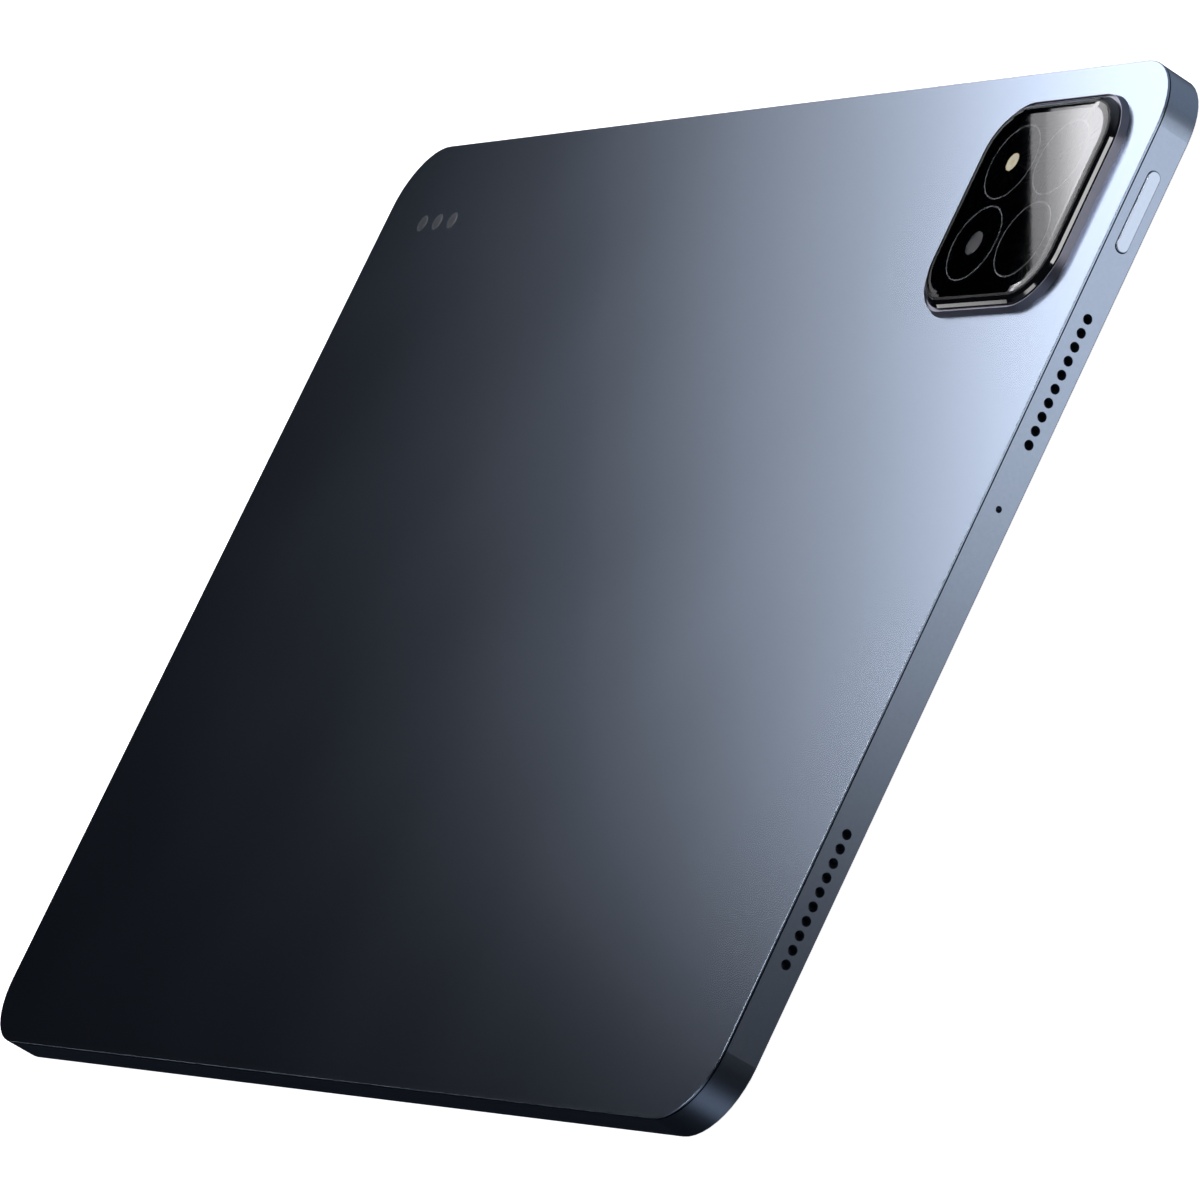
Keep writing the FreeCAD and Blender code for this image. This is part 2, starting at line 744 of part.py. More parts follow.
def key_bracket(axis, along, inset, half_length, fulcrum=0.0):
    """Steel angle on the mid plate that backs the switches; a fulcrum post carries a rocker's middle."""
    half = half_l if axis == "x" else half_w
    back = half - inset - bracket_thickness
    upright = across(axis, along, back, half - inset, half_length, z_bay, z_bay + bracket_height)
    foot = across(axis, along, back - bracket_foot, back, half_length, z_bay, z_bay + bracket_thickness)
    bracket = upright.fuse(foot)
    if fulcrum:
        post = across(axis, along, half - inset, half - fulcrum, fulcrum_half, z_bay,
                      side_axis_z + fulcrum_over_axis)
        bracket = bracket.fuse(post)
    holes = [rod(x, y, z_bay - 1, z_bay + 1, screw_shank + hole_clear) for x, y in bracket_screw_points()]
    return bracket.removeSplitter().cut(holes)


def power_bracket():
    return key_bracket("x", power_y, power_notch(), power_length / 2 + bracket_past_key)


def volume_bracket():
    return key_bracket("y", volume_x, volume_notch(), volume_length / 2 + bracket_past_key,
                       fulcrum=key_wall + volume_ear_gap + ear_thickness + fit_gap)


# ---------------------------------------------------------------- camera island
def island_slab(inset, z0, z1):
    return slab(island_length - 2 * inset, island_width - 2 * inset, island_radius - inset, z0, z1, *island)


def island_outline(inset, z):
    return outline(island_length - 2 * inset, island_width - 2 * inset, island_radius - inset, z, *island)


def camera_bezel():
    """Anodised skirt of the island: leaning outer side, open middle, sunk land for the trim."""
    high = z_back + bezel_height
    skirt = Part.makeLoft([island_outline(0, z_back), island_outline(bezel_draft, high)], True)
    skirt = skirt.cut(island_slab(bezel_draft + bezel_lip, high - trim_groove, high + 1))
    return skirt.cut(island_slab(bezel_draft + bezel_flange, z_back - 1, z_back + 3))


def camera_trim():
    """Gloss black ring on the skirt's land: chamfered edge and a sloping shoulder up to the window."""
    low = z_back + bezel_height - trim_groove
    outer = bezel_draft + trim_step
    edge = z_back + trim_edge
    ring = island_slab(outer, low, edge)
    ring = ring.fuse(Part.makeLoft([island_outline(outer, edge),
                                    island_outline(outer + trim_chamfer, edge + trim_chamfer)], True))
    ring = ring.fuse(Part.makeLoft([island_outline(outer + trim_chamfer, edge + trim_chamfer),
                                    island_outline(window_inset(), z_window_edge)], True))
    ring = ring.cut(island_slab(window_inset() - fit_gap, z_mask, z_back + 3))
    return ring.cut(island_slab(window_inset() + window_seat, z_back - 1, z_mask + 1))


def window_inset():
    """Inset of the camera window from the island's foot."""
    return bezel_draft + trim_step + trim_chamfer + shoulder_width


def camera_window():
    """Camera window glass, its edge crowned all round."""
    plate = island_slab(window_inset(), z_window - window_thickness, z_window_edge)
    for (inset_0, rise_0), (inset_1, rise_1) in zip(crown_steps, crown_steps[1:]):
        low = island_outline(window_inset() + inset_0, z_window_edge + rise_0)
        high = island_outline(window_inset() + inset_1, z_window_edge + rise_1)
        plate = plate.fuse(Part.makeLoft([low, high], True))
    return plate


def camera_mask():
    """Black carrier under the window, with holes for lens, flash and sensor and grooves for the rings."""
    low, high = z_mask, z_window - window_thickness
    plate = island_slab(window_inset(), low, high)
    holes = [rod(*camera_at, low - 1, high + 1, lens_radius + mask_margin)]
    holes.append(rod(*flash_at, low - 1, high + 1, flash_radius + fit_gap))
    holes.append(rod(*sensor_at, low - 1, high + 1, sensor_radius + fit_gap))
    return plate.cut(holes).cut(ring_set(high - ring_relief, high + ring_relief))


def ring_set(low, high):
    """Four thin rings about the places of lens, flash and sensor."""
    rings = []
    for sx in (-1, 1):
        for sy in (-1, 1):
            x, y = island[0] + sx * lens_pitch / 2, island[1] + sy * lens_pitch / 2
            outer = rod(x, y, low, high, ring_radius + ring_line / 2)
            rings.append(outer.cut(rod(x, y, low, high, ring_radius - ring_line / 2)))
    return rings


def camera_rings():
    """Four accent rings that lie in the carrier's grooves, just under its face."""
    face = z_window - window_thickness
    return group(ring_set(face - ring_relief, face - ring_sunk))


def barrel_top():
    return z_mask - focus_travel - barrel_clear


def rear_camera_housing():
    """Focus actuator housing on the mid plate, bored for the moving barrel."""
    high = z_back + camera_height
    body = slab(camera_size, camera_size, camera_corner, z_bay, high, *camera_at)
    bore = rod(*camera_at, z_bay + camera_floor, high + 1, barrel_radius + barrel_gap)
    return body.cut(bore)


def rear_camera_barrel():
    """Lens barrel that the actuator lifts to focus, hollow for its lens."""
    low, high = z_bay + camera_floor + barrel_lift, barrel_top()
    barrel = rod(*camera_at, low, high, barrel_radius)
    barrel = barrel.cut(rod(*camera_at, high - lens_sunk - lens_edge, high + 1, lens_radius))
    mouth = Part.makeCone(lens_radius, barrel_radius - mouth_wall, mouth_depth,
                          vec(*camera_at, high - mouth_depth))
    return barrel.cut(mouth)


def rear_camera_lens():
    """Front lens element in the barrel: a short cylinder with a domed face."""
    high = barrel_top() - lens_sunk
    low, radius = high - lens_edge, lens_radius - lens_fit
    ball_radius = (radius ** 2 + lens_dome ** 2) / (2 * lens_dome)
    ball = Part.makeSphere(ball_radius, vec(*camera_at, high + lens_dome - ball_radius))
    cap = ball.common(rod(*camera_at, high, high + 2 * lens_dome, radius))
    return rod(*camera_at, low, high, radius).fuse(cap).removeSplitter()


def flash_led():
    """Flash light source on its own small post."""
    x, y = flash_at
    top = z_mask - flash_foot - flash_gap
    width, height = flash_chip
    post = slab(flash_post, flash_post, post_corner, z_bay, top - height, x, y)
    return post.fuse(slab(width, width, flash_chip_corner, top - height, top, x, y)).removeSplitter()


def flash_lens():
    """Stepped lens over the flash: rings cut in its inner face, a foot that carries it on the carrier."""
    low = z_mask - flash_foot
    high = z_window - window_thickness
    lens = rod(*flash_at, z_mask, high, flash_radius)
    lens = lens.fuse(rod(*flash_at, low, z_mask, flash_radius + flash_foot)).removeSplitter()
    width, depth = flash_groove
    for k in range(3):
        outer = flash_radius - width / 2 - flash_step * k
        groove = rod(*flash_at, low - 1, low + depth, outer)
        lens = lens.cut(groove.cut(rod(*flash_at, low - 1, low + depth, outer - width)))
    return lens


def light_sensor():
    """Ambient light sensor on its post, with a small window that fills the carrier's hole."""
    x, y = sensor_at
    high = z_window - window_thickness
    post = slab(sensor_post, sensor_post, post_corner, z_bay, z_mask, x, y)
    return post.fuse(rod(x, y, z_mask, high, sensor_radius)).removeSplitter()


def front_camera():
    """Front camera module behind its window in the black border."""
    x, y = front_camera_at()
    high = half_w - front_camera_inset
    shoulder = z_cell + front_lens_depth
    body = block(x - front_camera_half, x + front_camera_half, high - front_camera_depth, high,
                 shoulder, z_bay + front_camera_back)
    return body.fuse(rod(x, y, z_cell, shoulder, front_lens_radius)).removeSplitter()


# ---------------------------------------------------------------- boards
def main_board():
    low, high = main_board_y()
    board = slab(main_board_width, high - low, board_corner, board_z, board_top,
                 (board_left + board_right) / 2, (low + high) / 2)
    return board.cut([rod(x, y, board_z - 1, board_top + 1, screw_shank + hole_clear)
                      for x, y in board_screw_points()])


def can_places():
    """Centre, length and width of each shield can, from the top of the main board down."""
    low, high = main_board_y()
    x = (board_left + board_right) / 2 + can_margin - board_screw_inset
    wide = main_board_width - 2 * can_margin
    usable = high - low - 2 * can_margin
    y, places = high - can_margin, []
    for share in can_shares:
        tall = share * usable - can_spacing
        places.append((x, y - tall / 2, wide, tall))
        y -= tall + can_spacing
    return places


def shield_cans():
    cans = []
    for x, y, wide, tall in can_places():
        shell = slab(wide, tall, can_corner, board_top, can_top, x, y)
        cans.append(shell.cut(slab(wide - 2 * can_wall, tall - 2 * can_wall, can_corner - can_wall,
                                   board_top - 1, can_top - can_wall, x, y)))
    return group(cans)


def board_chips():
    """Processor, memory and power chips under the cans, and the plugs along the board's left edge."""
    chips = []
    top = can_top - can_wall - can_roof_gap
    for (x, y, _, tall), sizes in zip(can_places(), chip_sizes):
        pitch = tall / len(sizes)
        for n, size in enumerate(sizes):
            centre = y + (n - (len(sizes) - 1) / 2) * pitch
            chips.append(slab(size, min(size, pitch - can_spacing), chip_corner, board_top, top, x, centre))
    x = flex_slot_x() + plug_offset
    plugs = ((screen_flex_y, screen_plug_half), (link_y, link_plug_half),
             (2 * screen_flex_y - link_y, link_plug_half))
    for y, half in plugs:
        chips.append(block(x, x + plug_width, y - half, y + half, board_top, plug_top()))
    return group(chips)


def charge_board_z():
    """The port is mounted in the middle of this board's thickness."""
    return side_axis_z - board_thickness / 2


def charge_board():
    low = charge_board_z()
    x0 = -half_l + charge_left
    x1 = x0 + charge_board_depth
    board = slab(charge_board_depth, charge_board_length, charge_corner, low, low + board_thickness,
                 (x0 + x1) / 2, 0)
    half = (port_opening[0] + 2 * port_shell) / 2 + fit_gap
    port_end = -half_l + port_recess + port_depth + fit_gap
    board = board.cut(block(x0 - 1, port_end, -half, half, low - 1, low + 2))
    return board.cut([rod(x, y, low - 1, low + 2, screw_shank + hole_clear) for x, y in charge_screw_points()])


def link_flex():
    """Wide flex cable over the batteries from the charging board to the main board."""
    thin, half = flex_thickness, link_width / 2
    low = battery_top + flex_lift
    x0 = battery_left_edge - link_foot_back
    x1 = flex_slot_x() + plug_offset + plug_width
    foot = charge_board_z() + board_thickness
    run = block(x0, x1, link_y - half, link_y + half, low, low + thin)
    left = block(x0, x0 + thin, link_y - half, link_y + half, foot, low + thin)
    left_foot = block(x0 - plug_width, x0 + thin, link_y - half, link_y + half, foot, foot + thin)
    right = block(x1 - thin, x1, link_y - half, link_y + half, plug_top(), low + thin)
    right_foot = block(x1 - plug_width, x1, link_y - half, link_y + half, plug_top(), plug_top() + thin)
    return run.fuse([left, left_foot, right, right_foot]).removeSplitter()


# ---------------------------------------------------------------- batteries
def battery_cell(x0):
    cell = block(x0, x0 + battery_width, battery_low, battery_high, battery_z, battery_top)
    long_edges = [e for e in cell.Edges if e.BoundBox.XLength < 1e-6 and e.BoundBox.ZLength < 1e-6]
    return cell.makeFillet(min(battery_round, (battery_top - battery_z) / 2 - fit_gap), long_edges)


def battery_left():
    return battery_cell(battery_left_edge)


def battery_right():
    return battery_cell(battery_left_edge + battery_width + cell_gap)


def battery_boards():
    """Protection circuit strip along the upper end of each battery."""
    strips = []
    for x0 in (battery_left_edge, battery_left_edge + battery_width + cell_gap):
        strips.append(block(x0 + strip_end, x0 + battery_width - strip_end, battery_high,
                            battery_high + strip_width, z_bay, z_bay + strip_height))
    return group(strips)


def battery_tapes():
    """Stretch-release tapes under the batteries, with pull tabs at their lower ends."""
    tapes = []
    for x0 in (battery_left_edge, battery_left_edge + battery_width + cell_gap):
        for share in pull_tape_shares:
            x = x0 + share * battery_width
            low, high = battery_low - pull_tape_past, battery_high - pull_tape_short
            tapes.append(slab(pull_tape_width, high - low, pull_tape_corner, z_bay, battery_z,
                              x, (low + high) / 2))
    return group(tapes)


# ---------------------------------------------------------------- port
def port_pill(grow, start, end):
    return pill("x", 0, -half_l + start, -half_l + end, port_opening[0] + 2 * grow, port_opening[1] + 2 * grow)


def port_shell_part():
    """Drawn steel shell of the charging socket, with an ear each side that is soldered to the board."""
    shell = port_pill(port_shell, port_recess, port_recess + port_depth)
    side = port_opening[0] / 2 + port_shell
    x0, x1 = -half_l + charge_left + port_ear_in, -half_l + port_recess + port_depth
    low = charge_board_z() + board_thickness
    for sign in (-1, 1):
        y0, y1 = sorted((sign * (side - port_shell), sign * (side + port_ear)))
        shell = shell.fuse(block(x0, x1, y0, y1, low, low + port_shell))
    return shell.removeSplitter().cut(port_pill(0, port_recess - 1, port_recess + port_depth + 1))


def port_tongue():
    """Moulded tongue that carries the contacts, and the block that closes the socket's back."""
    end = port_recess + port_depth
    base = port_pill(0, end - tongue_back, end)
    blade = block(-half_l + port_recess + tongue_setback, -half_l + end - tongue_back,
                  -tongue[0] / 2, tongue[0] / 2, side_axis_z - tongue[1] / 2, side_axis_z + tongue[1] / 2)
    front = -half_l + port_recess + tongue_setback
    blade = blade.makeChamfer(tongue_chamfer, [e for e in blade.Edges if abs(e.BoundBox.XMin - front) < 1e-6
                                     and abs(e.BoundBox.XMax - front) < 1e-6])
    return base.fuse(blade).removeSplitter()


# ---------------------------------------------------------------- speakers
def speaker_span(side, near, far):
    """Low and high x of a stretch that starts near and ends far from the inner wall, on either side."""
    inner = half_l - wall - speaker_set
    x0, x1 = inner - far, inner - near
    return (x0, x1) if side > 0 else (-x1, -x0)


def speaker_enclosure(side, y):
    """Moulded box: a duct behind the wall's holes and a driver chamber, joined over a partition."""
    x0, x1 = speaker_span(side, 0, speaker_depth)
    half = speaker_length / 2
    shell = block(x0, x1, y - half, y + half, z_bay, speaker_top)
    corner = [e for e in shell.Edges if abs(e.Length - (speaker_top - z_bay)) < 1e-6]
    shell = shell.makeFillet(speaker_corner, corner)
    roof = speaker_top - speaker_wall
    duct_half = hole_pitch * hole_count / 2
    d0, d1 = speaker_span(side, -1, duct_depth)
    duct = block(d0, d1, y - duct_half, y + duct_half, z_bay - 1, roof)
    n0, n1 = speaker_span(side, duct_depth + speaker_wall, duct_depth + speaker_wall + driver[0])
    chamber = block(n0, n1, y - driver[1] / 2, y + driver[1] / 2, z_bay + speaker_wall, roof)
    j0, j1 = speaker_span(side, duct_depth - 0.1, duct_depth + speaker_wall + 0.1)
    joining = block(j0, j1, y - driver[1] / 2, y + driver[1] / 2, roof - duct_slot, roof)
    return shell.cut([duct, chamber, joining])


def driver_centre(side):
    n0, n1 = speaker_span(side, duct_depth + speaker_wall, duct_depth + speaker_wall + driver[0])
    return (n0 + n1) / 2


def magnet_top():
    return z_bay + speaker_wall + magnet_height


def speaker_magnet(side, y):
    """Magnet and yoke with a slot for the voice coil."""
    x, low = driver_centre(side), z_bay + speaker_wall
    length, width = (size - 2 * yoke_gap for size in driver)
    yoke = slab(length, width, yoke_corner, low, magnet_top(), x, y)
    length, width = (size + 2 * coil_gap for size in coil)
    outer = slab(length, width, coil_corner + coil_gap, low + yoke_floor, magnet_top() + 1, x, y)
    length, width = (size - 2 * coil_wall - 2 * coil_gap for size in coil)
    pole = slab(length, width, pole_corner, low, magnet_top() + 1, x, y)
    return yoke.cut(outer.cut(pole))


def speaker_cone(side, y):
    """Diaphragm plate with its voice coil."""
    x, low = driver_centre(side), magnet_top() + cone_gap
    length, width = (size - 2 * surround_band - 2 * fit_gap for size in driver)
    plate = slab(length, width, cone_corner, low, low + cone_plate, x, y)
    ring = slab(coil[0], coil[1], coil_corner, low - coil_drop, low, x, y)
    length, width = (size - 2 * coil_wall for size in coil)
    ring = ring.cut(slab(length, width, coil_corner - coil_wall, low - coil_drop, low, x, y))
    return plate.fuse(ring).removeSplitter()


def speaker_surrounds():
    """Rubber surround round each diaphragm, seated in the chamber's walls."""
    rings = []
    low = magnet_top() + cone_gap
    for side, y in SPEAKERS.values():
        x = driver_centre(side)
        outer = slab(driver[0], driver[1], surround_corner, low, low + cone_plate, x, y)
        length, width = (size - 2 * surround_band for size in driver)
        rings.append(outer.cut(slab(length, width, cone_corner, low - 1, low + 1, x, y)))
    return group(rings)


def speaker_meshes():
    """Fine mesh strip between the wall and each enclosure's mouth."""
    strips = []
    for side, y in SPEAKERS.values():
        x0, x1 = speaker_span(side, -speaker_set, 0)
        half = hole_pitch * hole_count / 2 + mesh_past_holes
        strips.append(block(x0, x1, y - half, y + half, z_bay + mesh_foot, side_axis_z + mesh_over_axis))
    return group(strips)


# ---------------------------------------------------------------- small electrics
def contact_xs():
    return [-half_l + contact_from_left + k * contact_pitch for k in range(3)]


def keyboard_contacts():
    """Three plated contact pads, level with the back."""
    pads = []
    for x in contact_xs():
        pad = rod(x, contact_y, z_cover - contact_depth, z_back - contact_sink, contact_radius)
        top = [e for e in pad.Edges if abs(e.BoundBox.ZMin - z_back + contact_sink) < 1e-6 and e.Length > 1]
        pads.append(pad.makeFillet(contact_round, top))
    return group(pads)


def contact_block():
    """Moulded insulator under the rear cover: a collar round each pad and the bar that joins them."""
    xs = contact_xs()
    past, width, corner = contact_bar
    length = xs[-1] - xs[0] + 2 * (contact_radius + past)
    bar = slab(length, width, corner, z_cover - contact_depth, z_cover, sum(xs) / len(xs), contact_y)
    outer = contact_radius + contact_collar - collar_gap
    bar = bar.fuse([rod(x, contact_y, z_cover, z_back - contact_sink, outer) for x in xs])
    bores = [rod(x, contact_y, z_cover - contact_depth - 1, z_back + 1, contact_radius) for x in xs]
    return bar.cut(bores).removeSplitter()


def microphones():
    """Three microphone packages, each against the wall behind its hole: right, left and upper wall."""
    length, depth, height = microphone
    half, top = length / 2, z_bay + height
    inner_x, inner_y = half_l - wall, half_w - wall
    right = across("x", half_w - mic_from_upper, inner_x - depth, inner_x, half, z_bay, top)
    left = across("x", half_w - left_mic_from_upper, -inner_x, -inner_x + depth, half, z_bay, top)
    upper = across("y", volume_x + mic_past_volume, inner_y - depth, inner_y, half, z_bay, top)
    return group([right, left, upper])


def holding_magnets():
    """Magnets inside the upper wall for a stylus and inside the lower wall for a cover."""
    length, width, height = magnet_bar
    y = half_w - wall - magnet_inset
    stylus = [(sign * x, y) for x in stylus_magnets_x for sign in (-1, 1)]
    gap_middle = battery_left_edge + battery_width + cell_gap / 2
    right_middle = gap_middle + (cell_gap + battery_width) / 2
    cover = [(gap_middle - cover_magnet_shift, -y), (right_middle + cover_magnet_shift, -y)]
    return group([slab(length, width, magnet_corner, z_bay, z_bay + height, *spot) for spot in stylus + cover])


def antennas():
    """Aerial carriers at the lower corners and by the upper left corner."""
    carriers = []
    length, width, height = antenna
    for sx, sy in ((1, -1), (-1, -1), (-1, 1)):
        x, y = sx * (half_l - wall - antenna_inset[0]), sy * (half_w - wall - antenna_inset[1])
        carriers.append(slab(length, width, antenna_corner, z_bay, z_bay + height, x, y))
    return group(carriers)


def graphite_sheet():
    """Heat spreader under the rear cover, over the main board and the nearer battery."""
    low, high = main_board_y()
    x0 = battery_left_edge + battery_width * graphite_start
    return slab(board_right - x0, high - low - graphite_short, graphite_corner,
                z_cover - graphite_thickness, z_cover, (x0 + board_right) / 2, (low + high) / 2)


# ---------------------------------------------------------------- export
PARTS = {
    "side_frame": side_frame, "rear_cover": rear_cover, "cover_tape": cover_tape, "mid_plate": mid_plate,
    "screws": screws, "cover_glass": cover_glass, "bezel_print": bezel_print,
    "glass_surround": glass_surround, "display_tape": display_tape, "lcd_cell": lcd_cell,
    "backlight_unit": backlight_unit, "display_flex": display_flex, "power_button": power_button,
    "power_dome": power_dome, "power_switch": power_switch, "power_bracket": power_bracket,
    "volume_rocker": volume_rocker, "volume_domes": volume_domes, "volume_switches": volume_switches,
    "volume_bracket": volume_bracket, "camera_bezel": camera_bezel, "camera_trim": camera_trim,
    "camera_window": camera_window, "camera_mask": camera_mask, "camera_rings": camera_rings,
    "rear_camera_housing": rear_camera_housing, "rear_camera_barrel": rear_camera_barrel,
    "rear_camera_lens": rear_camera_lens, "flash_led": flash_led, "flash_lens": flash_lens,
    "light_sensor": light_sensor, "front_camera": front_camera, "main_board": main_board,
    "shield_cans": shield_cans, "board_chips": board_chips,
    "charge_board": charge_board, "link_flex": link_flex, "battery_left": battery_left,
    "battery_right": battery_right, "battery_boards": battery_boards, "battery_tapes": battery_tapes,
    "port_shell": port_shell_part, "port_tongue": port_tongue, "speaker_meshes": speaker_meshes,
    "keyboard_contacts": keyboard_contacts, "contact_block": contact_block, "microphones": microphones,
    "holding_magnets": holding_magnets, "antennas": antennas, "graphite_sheet": graphite_sheet,
}


def main():
    os.makedirs("parts", exist_ok=True)
    shapes = {name: make() for name, make in PARTS.items()}
    for name, (side, y) in SPEAKERS.items():
        shapes["speaker_box_" + name] = speaker_enclosure(side, y)
        shapes["speaker_cone_" + name] = speaker_cone(side, y)
    shapes["speaker_magnets"] = group([speaker_magnet(side, y) for side, y in SPEAKERS.values()])
    shapes["speaker_surrounds"] = speaker_surrounds()
    for name, shape in shapes.items():
        solids = shape.Solids
        if not solids or not all(s.isValid() and s.Volume > 0 for s in solids):
            raise ValueError(name + " is not a sound solid")
        group(solids).exportStep("parts/" + name + ".step")
        print(f"{name:26s} {len(solids):3d} solids {sum(s.Volume for s in solids):10.2f} mm3")


main()
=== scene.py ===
"""Looks of a slim 11-inch tablet computer: finishes, fine detail pieces, camera and studio.

Every length is in metres unless a name ends in _mm. The CAD nodes keep their meshes and get their finishes
here; the classes below add what a CAD solid leaves out, such as woven mesh, contact pads and board parts.
"""
import json
import logging
import math
from dataclasses import dataclass, field
from enum import Enum
from typing import Any, Iterable

import bmesh
import bpy
from mathutils import Matrix, Vector
from mathutils.bvhtree import BVHTree


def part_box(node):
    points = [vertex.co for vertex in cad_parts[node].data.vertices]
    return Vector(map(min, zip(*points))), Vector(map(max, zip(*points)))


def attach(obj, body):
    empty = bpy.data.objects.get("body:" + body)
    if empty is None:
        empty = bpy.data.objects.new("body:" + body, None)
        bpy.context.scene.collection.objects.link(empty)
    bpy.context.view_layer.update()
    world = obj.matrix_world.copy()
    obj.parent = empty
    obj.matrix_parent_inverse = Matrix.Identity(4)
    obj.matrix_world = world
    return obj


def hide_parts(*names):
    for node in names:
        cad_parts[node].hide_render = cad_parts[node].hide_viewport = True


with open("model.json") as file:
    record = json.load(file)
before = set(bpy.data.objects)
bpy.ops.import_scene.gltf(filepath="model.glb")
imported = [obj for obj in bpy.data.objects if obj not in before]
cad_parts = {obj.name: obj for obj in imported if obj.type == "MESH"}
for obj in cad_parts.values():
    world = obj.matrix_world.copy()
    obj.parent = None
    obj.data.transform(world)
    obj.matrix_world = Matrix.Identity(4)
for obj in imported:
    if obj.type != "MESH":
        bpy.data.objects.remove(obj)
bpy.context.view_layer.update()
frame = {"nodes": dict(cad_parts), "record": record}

LOG = logging.getLogger("tablet")
MM = 0.001
WELD = 1e-7
Point = tuple[float, float, float]
Box = tuple[Vector, Vector]
Tree = bpy.types.NodeTree
Node = bpy.types.Node
Outlet = tuple[bpy.types.Node, str | int]

# kinds of node that are used often
MATH, RANGE, NOISE, VORONOI, WAVE = (
    "ShaderNode" + kind for kind in ("Math", "MapRange", "TexNoise", "TexVoronoi", "TexWave"))
SPLIT, COMBINE, VECTOR, COORDS = (
    "ShaderNode" + kind for kind in ("SeparateXYZ", "CombineXYZ", "VectorMath", "TexCoord"))
ON_POINTS, REALIZE, TRANSFORM, CIRCLE, COATING, MESH_LINE = (
    "GeometryNode" + kind for kind in (
        "InstanceOnPoints", "RealizeInstances", "Transform", "CurvePrimitiveCircle", "SetMaterial", "MeshLine"))


class Body(Enum):
    """The moving bodies that a new piece can ride on."""

    TABLET = "tablet"
    LENS = "lens_carriage"


class Axis(Enum):
    """A direction in the frame, for a grain or a row."""

    X = 0
    Y = 1
    Z = 2


# ---------------------------------------------------------------- nodes
def linear(code: str) -> tuple[float, float, float, float]:
    """Turns an sRGB hex colour to the linear values that a shader takes.

    Args:
        code: six hex digits after a hash sign.

    Returns:
        Red, green, blue and an alpha of one.
    """
    parts = [int(code[i:i + 2], 16) / 255 for i in (1, 3, 5)]
    red, green, blue = (p / 12.92 if p <= 0.04045 else ((p + 0.055) / 1.055) ** 2.4 for p in parts)
    return red, green, blue, 1.0


def feed(node: Node, inputs: dict[str | int, Any]) -> None:
    """Gives values and links to the inputs of a node.

    Args:
        node: the node that gets them.
        inputs: value of an input by name or number; a (node, output) pair makes a link.
    """
    for key, value in inputs.items():
        if isinstance(value, tuple) and isinstance(value[0], Node):
            node.id_data.links.new(value[0].outputs[value[1]], node.inputs[key])
        else:
            node.inputs[key].default_value = value


def add(tree: Tree, kind: str, inputs: dict[str | int, Any] | None = None,
        **settings: Any) -> Node:
    """Adds one node with its settings and links.

    Args:
        tree: the tree that gets the node.
        kind: the node's type name.
        inputs: what feed gives to its inputs.
        **settings: the node's own properties.

    Returns:
        The new node.
    """
    node = tree.nodes.new(kind)
    for key, value in settings.items():
        setattr(node, key, value)
    feed(node, inputs or {})
    return node


def per_mm(size_mm: float) -> float:
    """Texture scale that gives a feature of this size on Object coordinates, which are in metres."""
    return 1000.0 / size_mm


def per_wave(size_mm: float) -> float:
    """Wave texture scale that spaces its crests this far apart; the texture itself multiplies by twenty."""
    return per_mm(size_mm) / 20.0


# ---------------------------------------------------------------- finishes
@dataclass(frozen=True)
class Finish:
    """A surface finish. Each kind below says what the real one is and what that gives the eye."""

    name: str

    def material(self) -> bpy.types.Material:
        """Returns the material, built the first time it is asked for."""
        known = bpy.data.materials.get(self.name)
        if known:
            return known
        made = bpy.data.materials.new(self.name)
        made.use_nodes = True
        tree = made.node_tree
        shader = tree.nodes["Principled BSDF"]
        place = add(tree, COORDS)
        self.dress(tree, shader, (place, "Object"))
        return made

    def dress(self, tree: Tree, shader: Node, place: Outlet) -> None:
        """Adds the nodes of this finish.

        Args:
            tree: the material's tree.
            shader: its Principled shader.
            place: the Object coordinates.
        """
        raise NotImplementedError


def blend_colours(shader: Node, amount: Outlet, low: str, high: str) -> None:
    """Mixes two hex colours by a pattern and gives the result to the shader's base colour."""
    mix = add(shader.id_data, "ShaderNodeMix", {0: amount, 6: linear(low), 7: linear(high)}, data_type="RGBA")
    feed(shader, {"Base Color": (mix, 2)})


def spread_roughness(shader: Node, amount: Outlet, low: float, high: float) -> None:
    """Lets a pattern move the roughness between two values."""
    feed(shader, {"Roughness": (add(shader.id_data, RANGE, {0: amount, 3: low, 4: high}), 0)})


def wear(shader: Node, amount: Outlet, colours: tuple[str, str], gloss: tuple[float, float]) -> None:
    """Lets one pattern move both the colour and the roughness between two values."""
    blend_colours(shader, amount, *colours)
    spread_roughness(shader, amount, *gloss)


def raise_grain(shader: Node, amount: Outlet, depth_mm: float, strength: float) -> None:
    """Bumps the surface by a pattern of a real depth."""
    height = {"Strength": strength, "Distance": depth_mm * MM, "Height": amount}
    bump = add(shader.id_data, "ShaderNodeBump", height)
    feed(shader, {"Normal": (bump, 0)})


@dataclass(frozen=True)
class BlastedAnodised(Finish):
    """Aluminium, bead-blasted and anodised: a soft metallic sheen with a very fine sparkle, no lines.

    The beads leave dimples near 0.05 mm; they are drawn at bead_mm, coarser, so that they show.
    """

    light: str = "#a3afc1"
    dark: str = "#98a5b8"
    roughness: float = 0.36
    bead_mm: float = 0.22
    depth_mm: float = 0.004

    def dress(self, tree: Tree, shader: Node, place: Outlet) -> None:
        """Adds dimples, a fine mottling of the dye and a slow drift of the gloss."""
        feed(shader, {"Metallic": 1.0})
        beads = add(tree, NOISE, {"Vector": place, "Scale": per_mm(self.bead_mm), "Detail": 3.0})
        dye = add(tree, NOISE, {"Vector": place, "Scale": per_mm(0.6), "Detail": 4.0})
        drift = add(tree, NOISE, {"Vector": place, "Scale": per_mm(40.0), "Detail": 1.0})
        blend_colours(shader, (dye, 0), self.dark, self.light)
        spread_roughness(shader, (drift, 0), self.roughness - 0.015, self.roughness + 0.015)
        raise_grain(shader, (beads, 0), self.depth_mm, 0.05)


